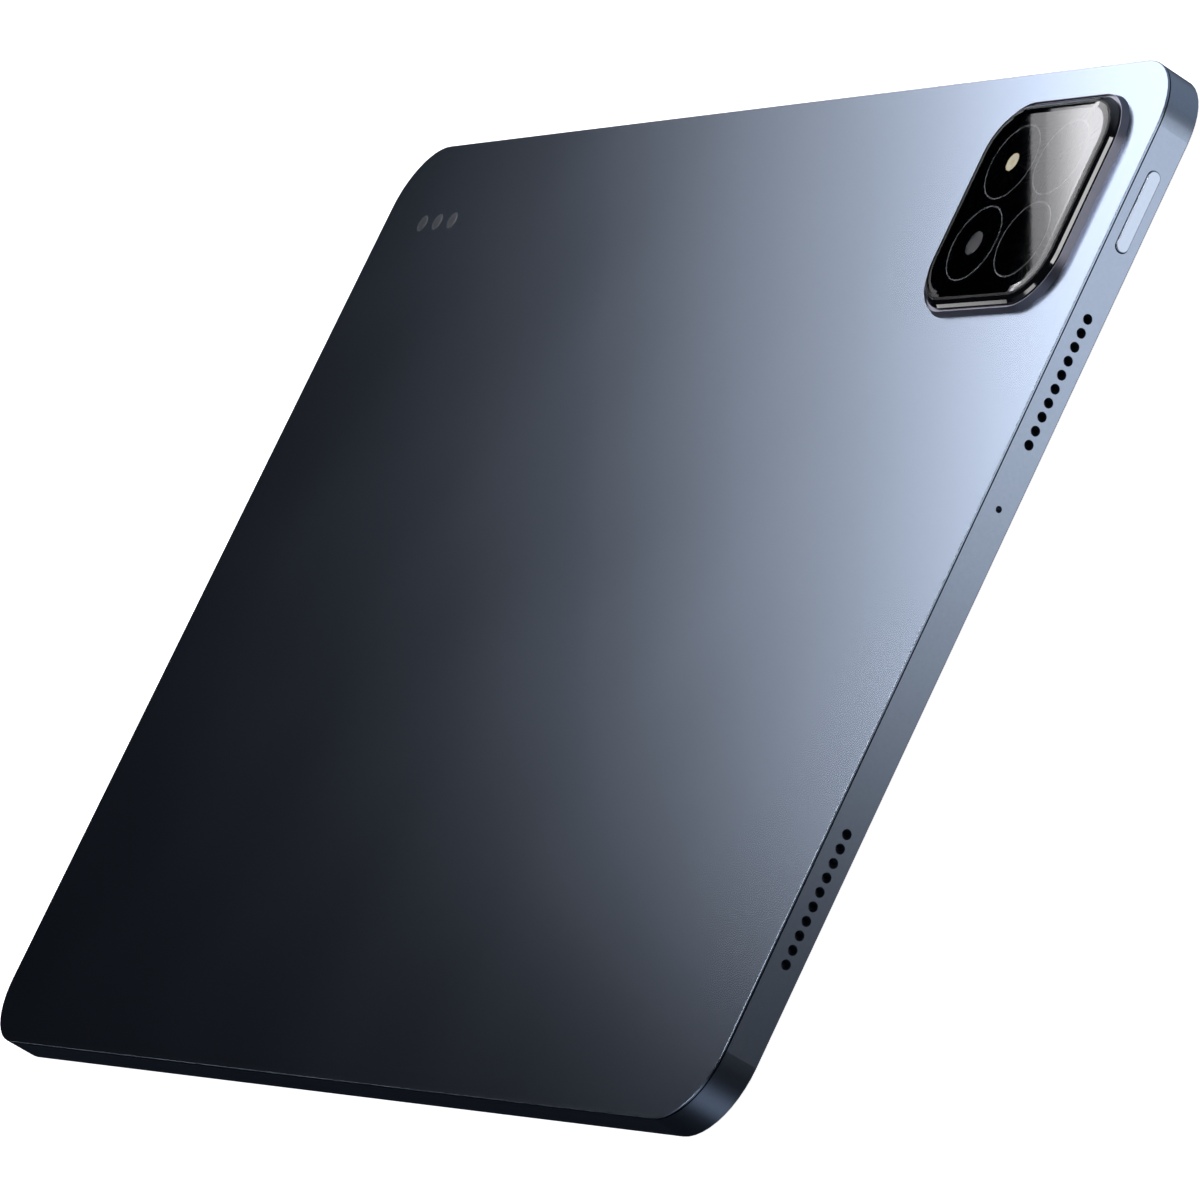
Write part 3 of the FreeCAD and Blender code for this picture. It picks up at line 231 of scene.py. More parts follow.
@dataclass(frozen=True)
class GlossBlack(Finish):
    """Black lacquer over moulded resin, polished: deep black that mirrors, with a faint flow in the mirror."""

    colour: str = "#08080a"
    lift: str = "#0d0d10"
    roughness: float = 0.07
    flow_mm: float = 5.0

    def dress(self, tree: Tree, shader: Node, place: Outlet) -> None:
        """Adds the flow of the lacquer and fine rubbing marks."""
        feed(shader, {"IOR": 1.5, "Coat Weight": 0.5, "Coat Roughness": 0.03})
        flow = add(tree, NOISE, {"Vector": place, "Scale": per_mm(self.flow_mm), "Detail": 1.0})
        rubbed = add(tree, NOISE, {"Vector": place, "Scale": per_mm(0.8), "Detail": 4.0})
        wear(shader, (rubbed, 0), (self.colour, self.lift),
             (self.roughness - 0.02, self.roughness + 0.03))
        raise_grain(shader, (flow, 0), 0.004, 0.15)


@dataclass(frozen=True)
class PolishedGlass(Finish):
    """Aluminosilicate glass, cut, ground and polished: clear, mirror-smooth, with a trace of handling film.

    Below the height ground_under the edge stays ground, not polished, and catches a soft grey line of light.
    """

    tint: str = "#eef1f4"
    ior: float = 1.51
    roughness: float = 0.012
    film: float = 0.02
    ground_under: float = -1.0
    ground_roughness: float = 0.42

    def dress(self, tree: Tree, shader: Node, place: Outlet) -> None:
        """Adds clear glass whose gloss drifts a little where it is handled."""
        feed(shader, {"IOR": self.ior, "Transmission Weight": 1.0})
        smear = add(tree, NOISE, {"Vector": place, "Scale": per_mm(14.0), "Detail": 3.0})
        blend_colours(shader, (smear, 0), self.tint, "#ffffff")
        polished = add(tree, RANGE, {0: (smear, 0), 3: self.roughness,
                                                    4: self.roughness + self.film})
        height = add(tree, SPLIT, {0: place})
        edge = add(tree, MATH, {0: (height, 2), 1: self.ground_under}, operation="LESS_THAN")
        gloss = add(tree, "ShaderNodeMix", {0: (edge, 0), 2: (polished, 0), 3: self.ground_roughness})
        feed(shader, {"Roughness": (gloss, 0)})


@dataclass(frozen=True)
class CoatedLens(Finish):
    """Moulded optical resin with a vacuum-coated film: nearly black from outside, with a violet reflex."""

    core: str = "#08070d"
    rim: str = "#1a1626"
    film_nm: float = 470.0

    def dress(self, tree: Tree, shader: Node, place: Outlet) -> None:
        """Adds the dark bowl of the lens stack under a thin coating."""
        feed(shader, {"IOR": 1.54, "Specular IOR Level": 0.12,
                      "Thin Film Thickness": self.film_nm, "Thin Film IOR": 1.38})
        swirl = add(tree, NOISE, {"Vector": place, "Scale": per_mm(1.2), "Detail": 2.0})
        wear(shader, (swirl, 0), (self.core, self.rim), (0.03, 0.08))


@dataclass(frozen=True)
class MouldedPlastic(Finish):
    """Engineering plastic, injection-moulded in a spark-eroded tool: even colour, fine pebbled grain."""

    light: str = "#1b1c1f"
    dark: str = "#131416"
    roughness: float = 0.5
    grain_mm: float = 0.18
    depth_mm: float = 0.01
    specular: float = 0.5

    def dress(self, tree: Tree, shader: Node, place: Outlet) -> None:
        """Adds the pebbled grain and slight flow marks in the colour."""
        feed(shader, {"IOR": 1.49, "Specular IOR Level": self.specular})
        pebble = add(tree, VORONOI, {"Vector": place, "Scale": per_mm(self.grain_mm)},
                     feature="SMOOTH_F1")
        flow = add(tree, NOISE, {"Vector": place, "Scale": per_mm(6.0), "Detail": 3.0})
        wear(shader, (flow, 0), (self.dark, self.light), (self.roughness - 0.06, self.roughness + 0.06))
        raise_grain(shader, (pebble, "Distance"), self.depth_mm, 0.4)


@dataclass(frozen=True)
class ScreenInk(Finish):
    """Black ceramic ink, screen-printed and baked under glass: flat black with a faint screen grain."""

    colour: str = "#030304"
    lift: str = "#060608"
    mesh_mm: float = 0.12

    def dress(self, tree: Tree, shader: Node, place: Outlet) -> None:
        """Adds the grain that the printing screen leaves."""
        feed(shader, {"IOR": 1.45})
        grain = add(tree, NOISE, {"Vector": place, "Scale": per_mm(self.mesh_mm), "Detail": 2.0})
        wear(shader, (grain, 0), (self.colour, self.lift), (0.42, 0.55))
        raise_grain(shader, (grain, 0), 0.003, 0.3)


@dataclass(frozen=True)
class BrushedMetal(Finish):
    """Sheet or bar metal, rolled or brushed along one axis: long fine lines and a streaked gloss."""

    light: str = "#b9bbbe"
    dark: str = "#9d9fa3"
    roughness: float = 0.3
    line_mm: float = 0.08
    run: Axis = Axis.X
    stretch: float = 60.0
    metallic: float = 1.0

    def dress(self, tree: Tree, shader: Node, place: Outlet) -> None:
        """Adds lines along the run, in colour, gloss and relief."""
        feed(shader, {"Metallic": self.metallic})
        squeeze = [per_mm(self.line_mm)] * 3
        squeeze[self.run.value] /= self.stretch
        mapped = add(tree, "ShaderNodeMapping", {"Vector": place, "Scale": tuple(squeeze)})
        lines = add(tree, NOISE, {"Vector": (mapped, 0), "Scale": 1.0, "Detail": 2.0})
        wear(shader, (lines, 0), (self.dark, self.light), (self.roughness - 0.07, self.roughness + 0.09))
        raise_grain(shader, (lines, 0), 0.003, 0.3)


@dataclass(frozen=True)
class PhosphorPlastic(Finish):
    """Polycarbonate lens over a yellow phosphor: warm white, ridged in rings about its centre, with a faint
    painted glow although the flash is unlit.
    """

    glow: str = "#f4f3ef"
    core: str = "#f6e3ac"
    ring_mm: float = 0.28
    centre: Point = (0.0, 0.0, 0.0)

    def dress(self, tree: Tree, shader: Node, place: Outlet) -> None:
        """Adds rings in relief and in tone, and a faint painted glow."""
        feed(shader, {"IOR": 1.58, "Roughness": 0.22})
        moved = add(tree, "ShaderNodeMapping", {"Vector": place, "Location": tuple(-c for c in self.centre)})
        rings = add(tree, WAVE, {"Vector": (moved, 0), "Scale": per_wave(self.ring_mm)},
                    wave_type="RINGS", rings_direction="Z")
        blend_colours(shader, (rings, 1), self.core, self.glow)
        raise_grain(shader, (rings, 1), 0.05, 0.5)
        # painted glow: a faint warm emission lifts the unlit flash lens and its ridges towards white
        feed(shader, {"Emission Color": linear("#f2efe2"), "Emission Strength": 0.22})


@dataclass(frozen=True)
class CircuitBoard(Finish):
    """Fibreglass laminate with solder mask over copper: dark satin green, tracks as faint lighter runs."""

    mask: str = "#0d2620"
    track: str = "#1c4a3c"
    track_mm: float = 0.9

    def dress(self, tree: Tree, shader: Node, place: Outlet) -> None:
        """Adds right-angled copper runs that show through the mask."""
        cells = add(tree, VORONOI, {"Vector": place, "Scale": per_mm(self.track_mm * 4)},
                    feature="F1", distance="MANHATTAN")
        lines = add(tree, MATH, {0: (cells, "Distance"), 1: 7.0}, operation="MULTIPLY")
        folds = add(tree, MATH, {0: (lines, 0), 1: 1.0}, operation="PINGPONG")
        copper = add(tree, RANGE, {0: (folds, 0), 1: 0.45, 2: 0.55, 3: 0.0, 4: 1.0})
        wear(shader, (copper, 0), (self.mask, self.track), (0.38, 0.28))
        raise_grain(shader, (copper, 0), 0.03, 0.5)


@dataclass(frozen=True)
class EpoxyMould(Finish):
    """Filled epoxy, transfer-moulded: matt charcoal with the speckle of its glass filler."""

    light: str = "#2b2c2e"
    dark: str = "#17181a"
    speck_mm: float = 0.15

    def dress(self, tree: Tree, shader: Node, place: Outlet) -> None:
        """Adds the filler's speckle."""
        specks = add(tree, VORONOI, {"Vector": place, "Scale": per_mm(self.speck_mm)})
        wear(shader, (specks, "Distance"), (self.dark, self.light), (0.55, 0.75))
        raise_grain(shader, (specks, "Distance"), 0.01, 0.3)


@dataclass(frozen=True)
class PouchFoil(Finish):
    """Aluminium laminate pouch, heat-sealed: dull silver, softly creased, with a nylon skin's haze."""

    light: str = "#8f9194"
    dark: str = "#6d6f73"
    crease_mm: float = 9.0

    def dress(self, tree: Tree, shader: Node, place: Outlet) -> None:
        """Adds slow creases and a fine haze."""
        feed(shader, {"Metallic": 0.85, "Coat Weight": 0.2})
        folds = add(tree, NOISE, {"Vector": place, "Scale": per_mm(self.crease_mm), "Detail": 5.0,
                                                 "Distortion": 0.6})
        wear(shader, (folds, 0), (self.dark, self.light), (0.32, 0.5))
        raise_grain(shader, (folds, 0), 0.25, 0.4)


@dataclass(frozen=True)
class FlexFilm(Finish):
    """Polyimide film over etched copper: amber and satin, with straight tracks along its run."""

    film: str = "#6b3d12"
    track: str = "#a86a2c"
    pitch_mm: float = 0.5
    run: Axis = Axis.X

    def dress(self, tree: Tree, shader: Node, place: Outlet) -> None:
        """Adds tracks across the film's width."""
        across = "Y" if self.run is Axis.X else "X"
        tracks = add(tree, WAVE, {"Vector": place, "Scale": per_wave(self.pitch_mm)},
                     wave_type="BANDS", bands_direction=across)
        wear(shader, (tracks, 1), (self.film, self.track), (0.42, 0.3))
        raise_grain(shader, (tracks, 1), 0.02, 0.5)


@dataclass(frozen=True)
class AdhesiveTape(Finish):
    """Closed-cell foam or film tape with acrylic glue: matt, pitted, slightly tacky in its gloss."""

    light: str = "#2a2a2c"
    dark: str = "#161618"
    cell_mm: float = 0.25

    def dress(self, tree: Tree, shader: Node, place: Outlet) -> None:
        """Adds the foam's cells."""
        cells = add(tree, VORONOI, {"Vector": place, "Scale": per_mm(self.cell_mm)})
        wear(shader, (cells, "Distance"), (self.dark, self.light), (0.6, 0.85))
        raise_grain(shader, (cells, "Distance"), 0.03, 0.4)


@dataclass(frozen=True)
class FlakedGraphite(Finish):
    """Pressed graphite sheet: dark grey flakes with a greasy half-metal gloss."""

    light: str = "#3b3c3f"
    dark: str = "#232427"
    flake_mm: float = 0.7

    def dress(self, tree: Tree, shader: Node, place: Outlet) -> None:
        """Adds the flakes, each with its own tone and tilt."""
        feed(shader, {"Metallic": 0.6})
        flakes = add(tree, VORONOI, {"Vector": place, "Scale": per_mm(self.flake_mm)})
        tone = add(tree, "ShaderNodeSeparateColor", {0: (flakes, "Color")})
        blend_colours(shader, (tone, 0), self.dark, self.light)
        spread_roughness(shader, (tone, 1), 0.3, 0.55)
        raise_grain(shader, (tone, 2), 0.01, 0.35)


@dataclass(frozen=True)
class SoftRubber(Finish):
    """Silicone or polyurethane, moulded thin: matt and dusty, with shallow ribs."""

    light: str = "#202124"
    dark: str = "#121315"
    rib_mm: float = 0.4

    def dress(self, tree: Tree, shader: Node, place: Outlet) -> None:
        """Adds ribs and a dusty bloom."""
        feed(shader, {"IOR": 1.42, "Sheen Weight": 0.15})
        bloom = add(tree, NOISE, {"Vector": place, "Scale": per_mm(2.0), "Detail": 4.0})
        ribs = add(tree, WAVE, {"Vector": place, "Scale": per_wave(self.rib_mm)})
        wear(shader, (bloom, 0), (self.dark, self.light), (0.65, 0.85))
        raise_grain(shader, (ribs, 1), 0.02, 0.25)


@dataclass(frozen=True)
class PixelCell(Finish):
    """Liquid crystal panel, laminated and unlit: near black, with its pixel columns as a faint grid.

    The real pixels are 0.08 mm apart; they are drawn at pixel_mm so that the grid shows close up.
    """

    dark: str = "#08090c"
    light: str = "#12141b"
    pixel_mm: float = 0.32

    def dress(self, tree: Tree, shader: Node, place: Outlet) -> None:
        """Adds columns and rows."""
        feed(shader, {"IOR": 1.5})
        scale = per_wave(self.pixel_mm)
        columns = add(tree, WAVE, {"Vector": place, "Scale": scale}, bands_direction="X")
        rows = add(tree, WAVE, {"Vector": place, "Scale": scale}, bands_direction="Y")
        grid = add(tree, MATH, {0: (columns, 1), 1: (rows, 1)}, operation="MULTIPLY")
        wear(shader, (grid, 0), (self.dark, self.light), (0.25, 0.16))


def flash_centre() -> Point:
    """Middle of the flash lens, from its CAD box."""
    low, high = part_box("flash_lens")
    return tuple((low + high) / 2)


PALETTE: dict[str, Finish] = {
    "cover_metal": BlastedAnodised("anodised_aluminium_cover", roughness=0.26),
    "frame_metal": BlastedAnodised("anodised_aluminium_frame", light="#a7b2c3", dark="#9ba8ba", roughness=0.34),
    "key_metal": BlastedAnodised("anodised_aluminium_key", light="#c3cddc", dark="#b9c4d4", roughness=0.30,
                                 bead_mm=0.16),
    "bezel_metal": BlastedAnodised("anodised_aluminium_dark_bezel", light="#8a8a96", dark="#7f7f8b",
                                   roughness=0.36, bead_mm=0.16),
    "trim_black": GlossBlack("lacquered_black_trim"),
    "camera_glass": PolishedGlass("polished_camera_glass",
                                  ground_under=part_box("camera_window")[1].z - 0.1 * MM),
    "cover_glass": PolishedGlass("polished_screen_glass", tint="#e6ebf0"),
    "black_print": ScreenInk("baked_black_ink"),
    "black_plastic": MouldedPlastic("moulded_black_nylon", specular=0.1),
    "grey_plastic": MouldedPlastic("moulded_grey_polymer", light="#5a5d62", dark="#4a4d52"),
    "ring_metal": BrushedMetal("turned_ring_steel", light="#737479", dark="#66676c", roughness=0.5, stretch=4.0,
                               metallic=0.3),
    "lens_glass": CoatedLens("coated_lens_resin"),
    "flash_plastic": PhosphorPlastic("ridged_flash_polycarbonate", centre=flash_centre()),
    "screen_cell": PixelCell("laminated_screen_cell"),
    "white_tray": MouldedPlastic("moulded_white_tray", light="#e9eaec", dark="#dcdee1", roughness=0.55),
    "steel": BrushedMetal("rolled_stainless_steel"),
    "contact_metal": BrushedMetal("plated_contact_pads", light="#8b8e95", dark="#75787f", roughness=0.38,
                                  stretch=5.0),
    "magnet": BrushedMetal("nickel_plated_magnet", light="#c9cacc", dark="#b5b6ba", roughness=0.22,
                           stretch=3.0),
    "plate_metal": BrushedMetal("stamped_magnesium_plate", light="#7d8085", dark="#6a6d72", roughness=0.42,
                                line_mm=0.2, stretch=20.0),
    "battery_foil": PouchFoil("sealed_pouch_foil"),
    "tape": AdhesiveTape("foam_adhesive_tape"),
    "flex_film": FlexFilm("etched_polyimide_flex"),
    "board": CircuitBoard("solder_masked_laminate"),
    "chip": EpoxyMould("moulded_epoxy_chip"),
    "graphite": FlakedGraphite("pressed_graphite_sheet"),
    "cone_film": MouldedPlastic("pressed_cone_film", light="#3a3d44", dark="#2c2f35", roughness=0.35),
    "surround_rubber": SoftRubber("moulded_surround_rubber"),
    "mesh_steel": BrushedMetal("drawn_mesh_wire", light="#3c3d40", dark="#2b2c2f", roughness=0.4, stretch=8.0),
}
CERAMIC = MouldedPlastic("fired_ceramic_body", light="#8a6f55", dark="#755c45", roughness=0.6)
TIN = BrushedMetal("reflowed_tin_ends", light="#c7c8ca", dark="#aeb0b4", roughness=0.28, stretch=2.0)
GOLD = BrushedMetal("plated_gold_pads", light="#d9b25a", dark="#c49c47", roughness=0.25, stretch=4.0)
BAFFLE = MouldedPlastic("flocked_black_baffle", light="#0b0b0d", dark="#060607", roughness=0.6, grain_mm=0.08,
                        specular=0.03)
PHOSPHOR = MouldedPlastic("moulded_phosphor_dome", light="#e7d173", dark="#d8bd55", roughness=0.45)


# ---------------------------------------------------------------- meshes
def solids_of(node: str) -> list[Box]:
    """Finds the separate solids of a CAD node.

    Args:
        node: the node's name.

    Returns:
        The lowest and highest corner of each solid, in order of place.
    """
    work = bmesh.new()
    work.from_mesh(frame["nodes"][node].data)
    bmesh.ops.remove_doubles(work, verts=work.verts, dist=WELD)
    seen: set[bmesh.types.BMVert] = set()
    boxes: list[Box] = []
    for start in work.verts:
        if start in seen:
            continue
        seen.add(start)
        waiting, members = [start], []
        while waiting:
            vert = waiting.pop()
            members.append(vert.co.copy())
            for edge in vert.link_edges:
                other = edge.other_vert(vert)
                if other not in seen:
                    seen.add(other)
                    waiting.append(other)
        boxes.append((Vector(min(c[i] for c in members) for i in range(3)),
                      Vector(max(c[i] for c in members) for i in range(3))))
    work.free()
    return sorted(boxes, key=lambda b: tuple(round(c, 5) for c in b[0]))


def surface_of(nodes: Iterable[str]) -> BVHTree:
    """Makes one search tree of several CAD nodes.

    Args:
        nodes: the nodes' names.

    Returns:
        A tree that rays can be cast at.
    """
    work = bmesh.new()
    for node in nodes:
        work.from_mesh(frame["nodes"][node].data)
    tree = BVHTree.FromBMesh(work)
    work.free()
    return tree


# ---------------------------------------------------------------- growth: repeated shapes by Geometry Nodes
@dataclass
class Growth:
    """A Geometry Nodes tree with named inputs that grows shapes on seed points."""

    name: str
    inputs: dict[str, float | int] = field(default_factory=dict)
    tree: Tree | None = None
    entry: Node | None = None

    def start(self) -> tuple[Tree, Node]:
        """Opens the tree and its sockets.

        Returns:
            The tree and its group input node.
        """
        self.tree = bpy.data.node_groups.new(self.name, "GeometryNodeTree")
        face = self.tree.interface
        face.new_socket("Geometry", in_out="INPUT", socket_type="NodeSocketGeometry")
        for key, value in self.inputs.items():
            kind = "NodeSocketInt" if isinstance(value, int) else "NodeSocketFloat"
            face.new_socket(key, in_out="INPUT", socket_type=kind)
        face.new_socket("Finish", in_out="INPUT", socket_type="NodeSocketMaterial")
        face.new_socket("Geometry", in_out="OUTPUT", socket_type="NodeSocketGeometry")
        self.entry = add(self.tree, "NodeGroupInput")
        return self.tree, self.entry

    def end(self, shape: Outlet, turn: Outlet | None = None, coat: bool = True) -> "Growth":
        """Closes the tree: the shape stands on each seed and is made real, then its finish is set.

        Args:
            shape: what stands on each seed.
            turn: its rotation, if it has one.
            coat: whether the finish is still to be set.

        Returns:
            The growth.
        """
        placing: dict[str | int, Any] = {"Points": (self.entry, "Geometry"), "Instance": shape}
        if turn is not None:
            placing["Rotation"] = turn
        last = add(self.tree, REALIZE, {"Geometry": (add(self.tree, ON_POINTS, placing), 0)})
        if coat:
            last = add(self.tree, COATING, {"Geometry": (last, 0), "Material": (self.entry, "Finish")})
        add(self.tree, "NodeGroupOutput", {"Geometry": (last, 0)})
        return self

    def grow(self, piece: str, seeds: list[Point], finish: Finish, body: Body, slot: str) -> bpy.types.Object:
        """Runs the tree on seed points and keeps the result as a plain mesh.

        Args:
            piece: name of the new piece.
            seeds: points that the shapes stand on.
            finish: what the shapes are made of.
            body: the body that the piece rides on.
            slot: the record's material slot that it belongs to; not used.

        Returns:
            The finished piece.
        """
        seed_mesh = bpy.data.meshes.new(piece + "_seeds")
        seed_mesh.from_pydata(seeds, [], [])
        obj = link_object(piece, seed_mesh)
        growth = obj.modifiers.new("growth", "NODES")
        growth.node_group = self.tree
        values: dict[str, Any] = {**self.inputs, "Finish": finish.material()}
        for item in self.tree.interface.items_tree:
            if item.item_type == "SOCKET" and item.in_out == "INPUT" and item.name in values:
                growth[item.identifier] = values[item.name]
        graph = bpy.context.evaluated_depsgraph_get()
        mesh = bpy.data.meshes.new_from_object(obj.evaluated_get(graph), preserve_all_data_layers=True,
                                               depsgraph=graph)
        obj.modifiers.clear()
        obj.data = mesh
        mesh.name = piece
        bpy.data.meshes.remove(seed_mesh)
        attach(obj, body.value)
        return obj


def link_object(name: str, data: bpy.types.ID) -> bpy.types.Object:
    """Makes an object of this name for a mesh or a camera and puts it in the scene."""
    obj = bpy.data.objects.new(name, data)
    bpy.context.scene.collection.objects.link(obj)
    return obj


def weave_growth(length: float, height: float, pitch: float, wire: float) -> Growth:
    """Plain woven wire cloth that stands in the YZ plane, centred on each seed.

    Args:
        length: size along Y.
        height: size along Z.
        pitch: between neighbouring wires.
        wire: wire diameter.

    Returns:
        The growth.
    """
    growth = Growth("woven_cloth", {"Length": length, "Height": height, "Pitch": pitch, "Wire": wire})
    tree, entry = growth.start()
    cloths = []
    for across, along, sign in ((1, 2, 1.0), (2, 1, -1.0)):
        spans = ("Length", "Height") if across == 1 else ("Height", "Length")
        rows = add(tree, MATH, {0: (entry, spans[0]), 1: (entry, "Pitch")}, operation="DIVIDE")
        steps = add(tree, MATH, {0: (entry, spans[1]), 1: (entry, "Pitch")}, operation="DIVIDE")
        fine = add(tree, MATH, {0: (steps, 0), 1: 3.0}, operation="MULTIPLY")
        unit, unit_along = [0.0] * 3, [0.0] * 3
        unit[across], unit_along[along] = 1.0, 1.0
        step = add(tree, VECTOR, {0: tuple(unit), 3: (entry, "Pitch")}, operation="SCALE")
        third = add(tree, MATH, {0: (entry, "Pitch"), 1: 3.0}, operation="DIVIDE")
        step_along = add(tree, VECTOR, {0: tuple(unit_along), 3: (third, 0)}, operation="SCALE")
        feet = add(tree, MESH_LINE, {"Count": (rows, 0), "Offset": (step, 0)})
        strand = add(tree, MESH_LINE, {"Count": (fine, 0), "Offset": (step_along, 0)})
        rowed = add(tree, ON_POINTS, {"Points": (feet, 0), "Instance": (strand, 0)})
        real = add(tree, REALIZE, {"Geometry": (rowed, 0)})
        spot = add(tree, "GeometryNodeInputPosition")
        parts = add(tree, SPLIT, {0: (spot, 0)})
        waves = []
        for output in (1, 2):
            turns = add(tree, MATH, {0: (parts, output), 1: (entry, "Pitch")}, operation="DIVIDE")
            angle = add(tree, MATH, {0: (turns, 0), 1: math.pi}, operation="MULTIPLY")
            waves.append(add(tree, MATH, {0: (angle, 0)}, operation="COSINE"))
        both = add(tree, MATH, {0: (waves[0], 0), 1: (waves[1], 0)}, operation="MULTIPLY")
        lift = add(tree, MATH, {0: (entry, "Wire"), 1: 0.5 * sign}, operation="MULTIPLY")
        rise = add(tree, MATH, {0: (both, 0), 1: (lift, 0)}, operation="MULTIPLY")
        shift = add(tree, COMBINE, {0: (rise, 0)})
        bent = add(tree, "GeometryNodeSetPosition", {"Geometry": (real, 0), "Offset": (shift, 0)})
        line = add(tree, "GeometryNodeMeshToCurve", {"Mesh": (bent, 0)})
        half = add(tree, MATH, {0: (entry, "Wire"), 1: 0.5}, operation="MULTIPLY")
        profile = add(tree, CIRCLE, {"Resolution": 4, "Radius": (half, 0)})
        cloths.append(add(tree, "GeometryNodeCurveToMesh", {"Curve": (line, 0), "Profile Curve": (profile, 0)}))
    cloth = add(tree, "GeometryNodeJoinGeometry")
    for part in cloths:
        tree.links.new(part.outputs[0], cloth.inputs[0])
    centre = add(tree, COMBINE, {1: (entry, "Length"), 2: (entry, "Height")})
    back = add(tree, VECTOR, {0: (centre, 0), 3: -0.5}, operation="SCALE")
    moved = add(tree, TRANSFORM, {"Geometry": (cloth, 0), "Translation": (back, 0)})
    return growth.end((moved, 0))


def block_growth(name: str, size: Point, turn_seed: int = -1, ends: float = 0.0,
                 cap: Finish | None = None) -> Growth:
    """Small blocks on points, with metal ends where asked, each turned a quarter at random where seeded.

    Args:
        name: the tree's name.
        size: length, width and height of a block, which stands on its point.
        turn_seed: seed of the random quarter turns, or -1 for none.
        ends: length of each end cap, or zero.
        cap: finish of the end caps.

    Returns:
        The growth.
    """
    growth = Growth(name, {"Length": size[0], "Width": size[1], "Height": size[2], "Ends": ends,
                           "Seed": max(turn_seed, 0)})
    tree, entry = growth.start()
    whole = add(tree, COMBINE, {0: (entry, "Length"), 1: (entry, "Width"), 2: (entry, "Height")})
    lift = add(tree, MATH, {0: (entry, "Height"), 1: 0.5}, operation="MULTIPLY")
    raised = add(tree, COMBINE, {2: (lift, 0)})
    core = add(tree, "GeometryNodeMeshCube", {"Size": (whole, 0)})
    shape: Outlet = (core, 0)
    if cap is not None:
        coated = add(tree, COATING, {"Geometry": (core, 0), "Material": (entry, "Finish")})
        joined = add(tree, "GeometryNodeJoinGeometry")
        tree.links.new(coated.outputs[0], joined.inputs[0])
        wide = add(tree, MATH, {0: (entry, "Width"), 1: 1.06}, operation="MULTIPLY")
        tall = add(tree, MATH, {0: (entry, "Height"), 1: 1.06}, operation="MULTIPLY")
        end_size = add(tree, COMBINE, {0: (entry, "Ends"), 1: (wide, 0), 2: (tall, 0)})
        end_block = add(tree, "GeometryNodeMeshCube", {"Size": (end_size, 0)})
        tinned = add(tree, COATING, {"Geometry": (end_block, 0)})
        tinned.inputs["Material"].default_value = cap.material()
        for side in (-0.5, 0.5):
            reach = add(tree, MATH, {0: (entry, "Length"), 1: side}, operation="MULTIPLY")
            spot = add(tree, COMBINE, {0: (reach, 0)})
            moved = add(tree, TRANSFORM, {"Geometry": (tinned, 0), "Translation": (spot, 0)})
            tree.links.new(moved.outputs[0], joined.inputs[0])
        shape = (joined, 0)
    stood = add(tree, TRANSFORM, {"Geometry": shape, "Translation": (raised, 0)})
    turn = None
    if turn_seed >= 0:
        chance = add(tree, "FunctionNodeRandomValue", {4: 0, 5: 1, "Seed": (entry, "Seed")}, data_type="INT")
        quarter = add(tree, MATH, {0: (chance, 2), 1: math.pi / 2}, operation="MULTIPLY")
        turn = (add(tree, COMBINE, {2: (quarter, 0)}), 0)
    return growth.end((stood, 0), turn, coat=cap is None)


def ring_growth(name: str, count: int, outer: float, inner: float, sink: float, line: float) -> Growth:
    """Concentric rings on each seed, each one smaller and lower than the last.

    Args:
        name: the tree's name.
        count: number of rings.
        outer: radius of the largest, to the middle of its line.
        inner: radius of the smallest.
        sink: how much lower the smallest stands.
        line: thickness of a ring.

    Returns:
        The growth.
    """
    growth = Growth(name, {"Count": count, "Outer": outer, "Inner": inner, "Sink": sink, "Line": line})
    tree, entry = growth.start()
    last = add(tree, MATH, {0: (entry, "Count"), 1: 1.0}, operation="SUBTRACT")
    fall = add(tree, MATH, {0: (entry, "Sink"), 1: (last, 0)}, operation="DIVIDE")
    down = add(tree, MATH, {0: (fall, 0), 1: -1.0}, operation="MULTIPLY")
    offset = add(tree, COMBINE, {2: (down, 0)})
    feet = add(tree, MESH_LINE, {"Count": (entry, "Count"), "Offset": (offset, 0)})
    order = add(tree, "GeometryNodeInputIndex")
    share = add(tree, MATH, {0: (order, 0), 1: (last, 0)}, operation="DIVIDE")
    radius = add(tree, RANGE, {0: (share, 0), 3: (entry, "Outer"), 4: (entry, "Inner")})
    circle = add(tree, CIRCLE, {"Resolution": 48, "Radius": 1.0})
    sized = add(tree, COMBINE, {0: (radius, 0), 1: (radius, 0), 2: 1.0})
    rings = add(tree, ON_POINTS, {"Points": (feet, 0), "Instance": (circle, 0),
                                                       "Scale": (sized, 0)})
    real = add(tree, REALIZE, {"Geometry": (rings, 0)})
    half = add(tree, MATH, {0: (entry, "Line"), 1: 0.5}, operation="MULTIPLY")
    profile = add(tree, CIRCLE, {"Resolution": 6, "Radius": (half, 0)})
    tube = add(tree, "GeometryNodeCurveToMesh", {"Curve": (real, 0), "Profile Curve": (profile, 0)})
    return growth.end((tube, 0))


# ---------------------------------------------------------------- sub-assemblies
@dataclass
class SubAssembly:
    """A group of CAD nodes and the detail pieces that go with them."""

    nodes: tuple[str, ...] = ()

    def dress(self) -> None:
        """Gives each CAD node the finish of its slot in the record."""
        slots = {row["node"]: row["material_slot"] for row in frame["record"]["subparts"]}
        for name in self.nodes:
            mesh = frame["nodes"][name].data
            mesh.materials.clear()
            mesh.materials.append(PALETTE[slots[name]].material())
            LOG.info("%s: %s", name, mesh.materials[0].name)

    def build(self) -> None:
        """Builds the detail pieces; a plain group has none."""


@dataclass
class Housing(SubAssembly):
    """Side frame, rear cover and the plate between the bays."""

    nodes: tuple[str, ...] = ("side_frame", "rear_cover", "cover_tape", "mid_plate", "screws", "graphite_sheet")


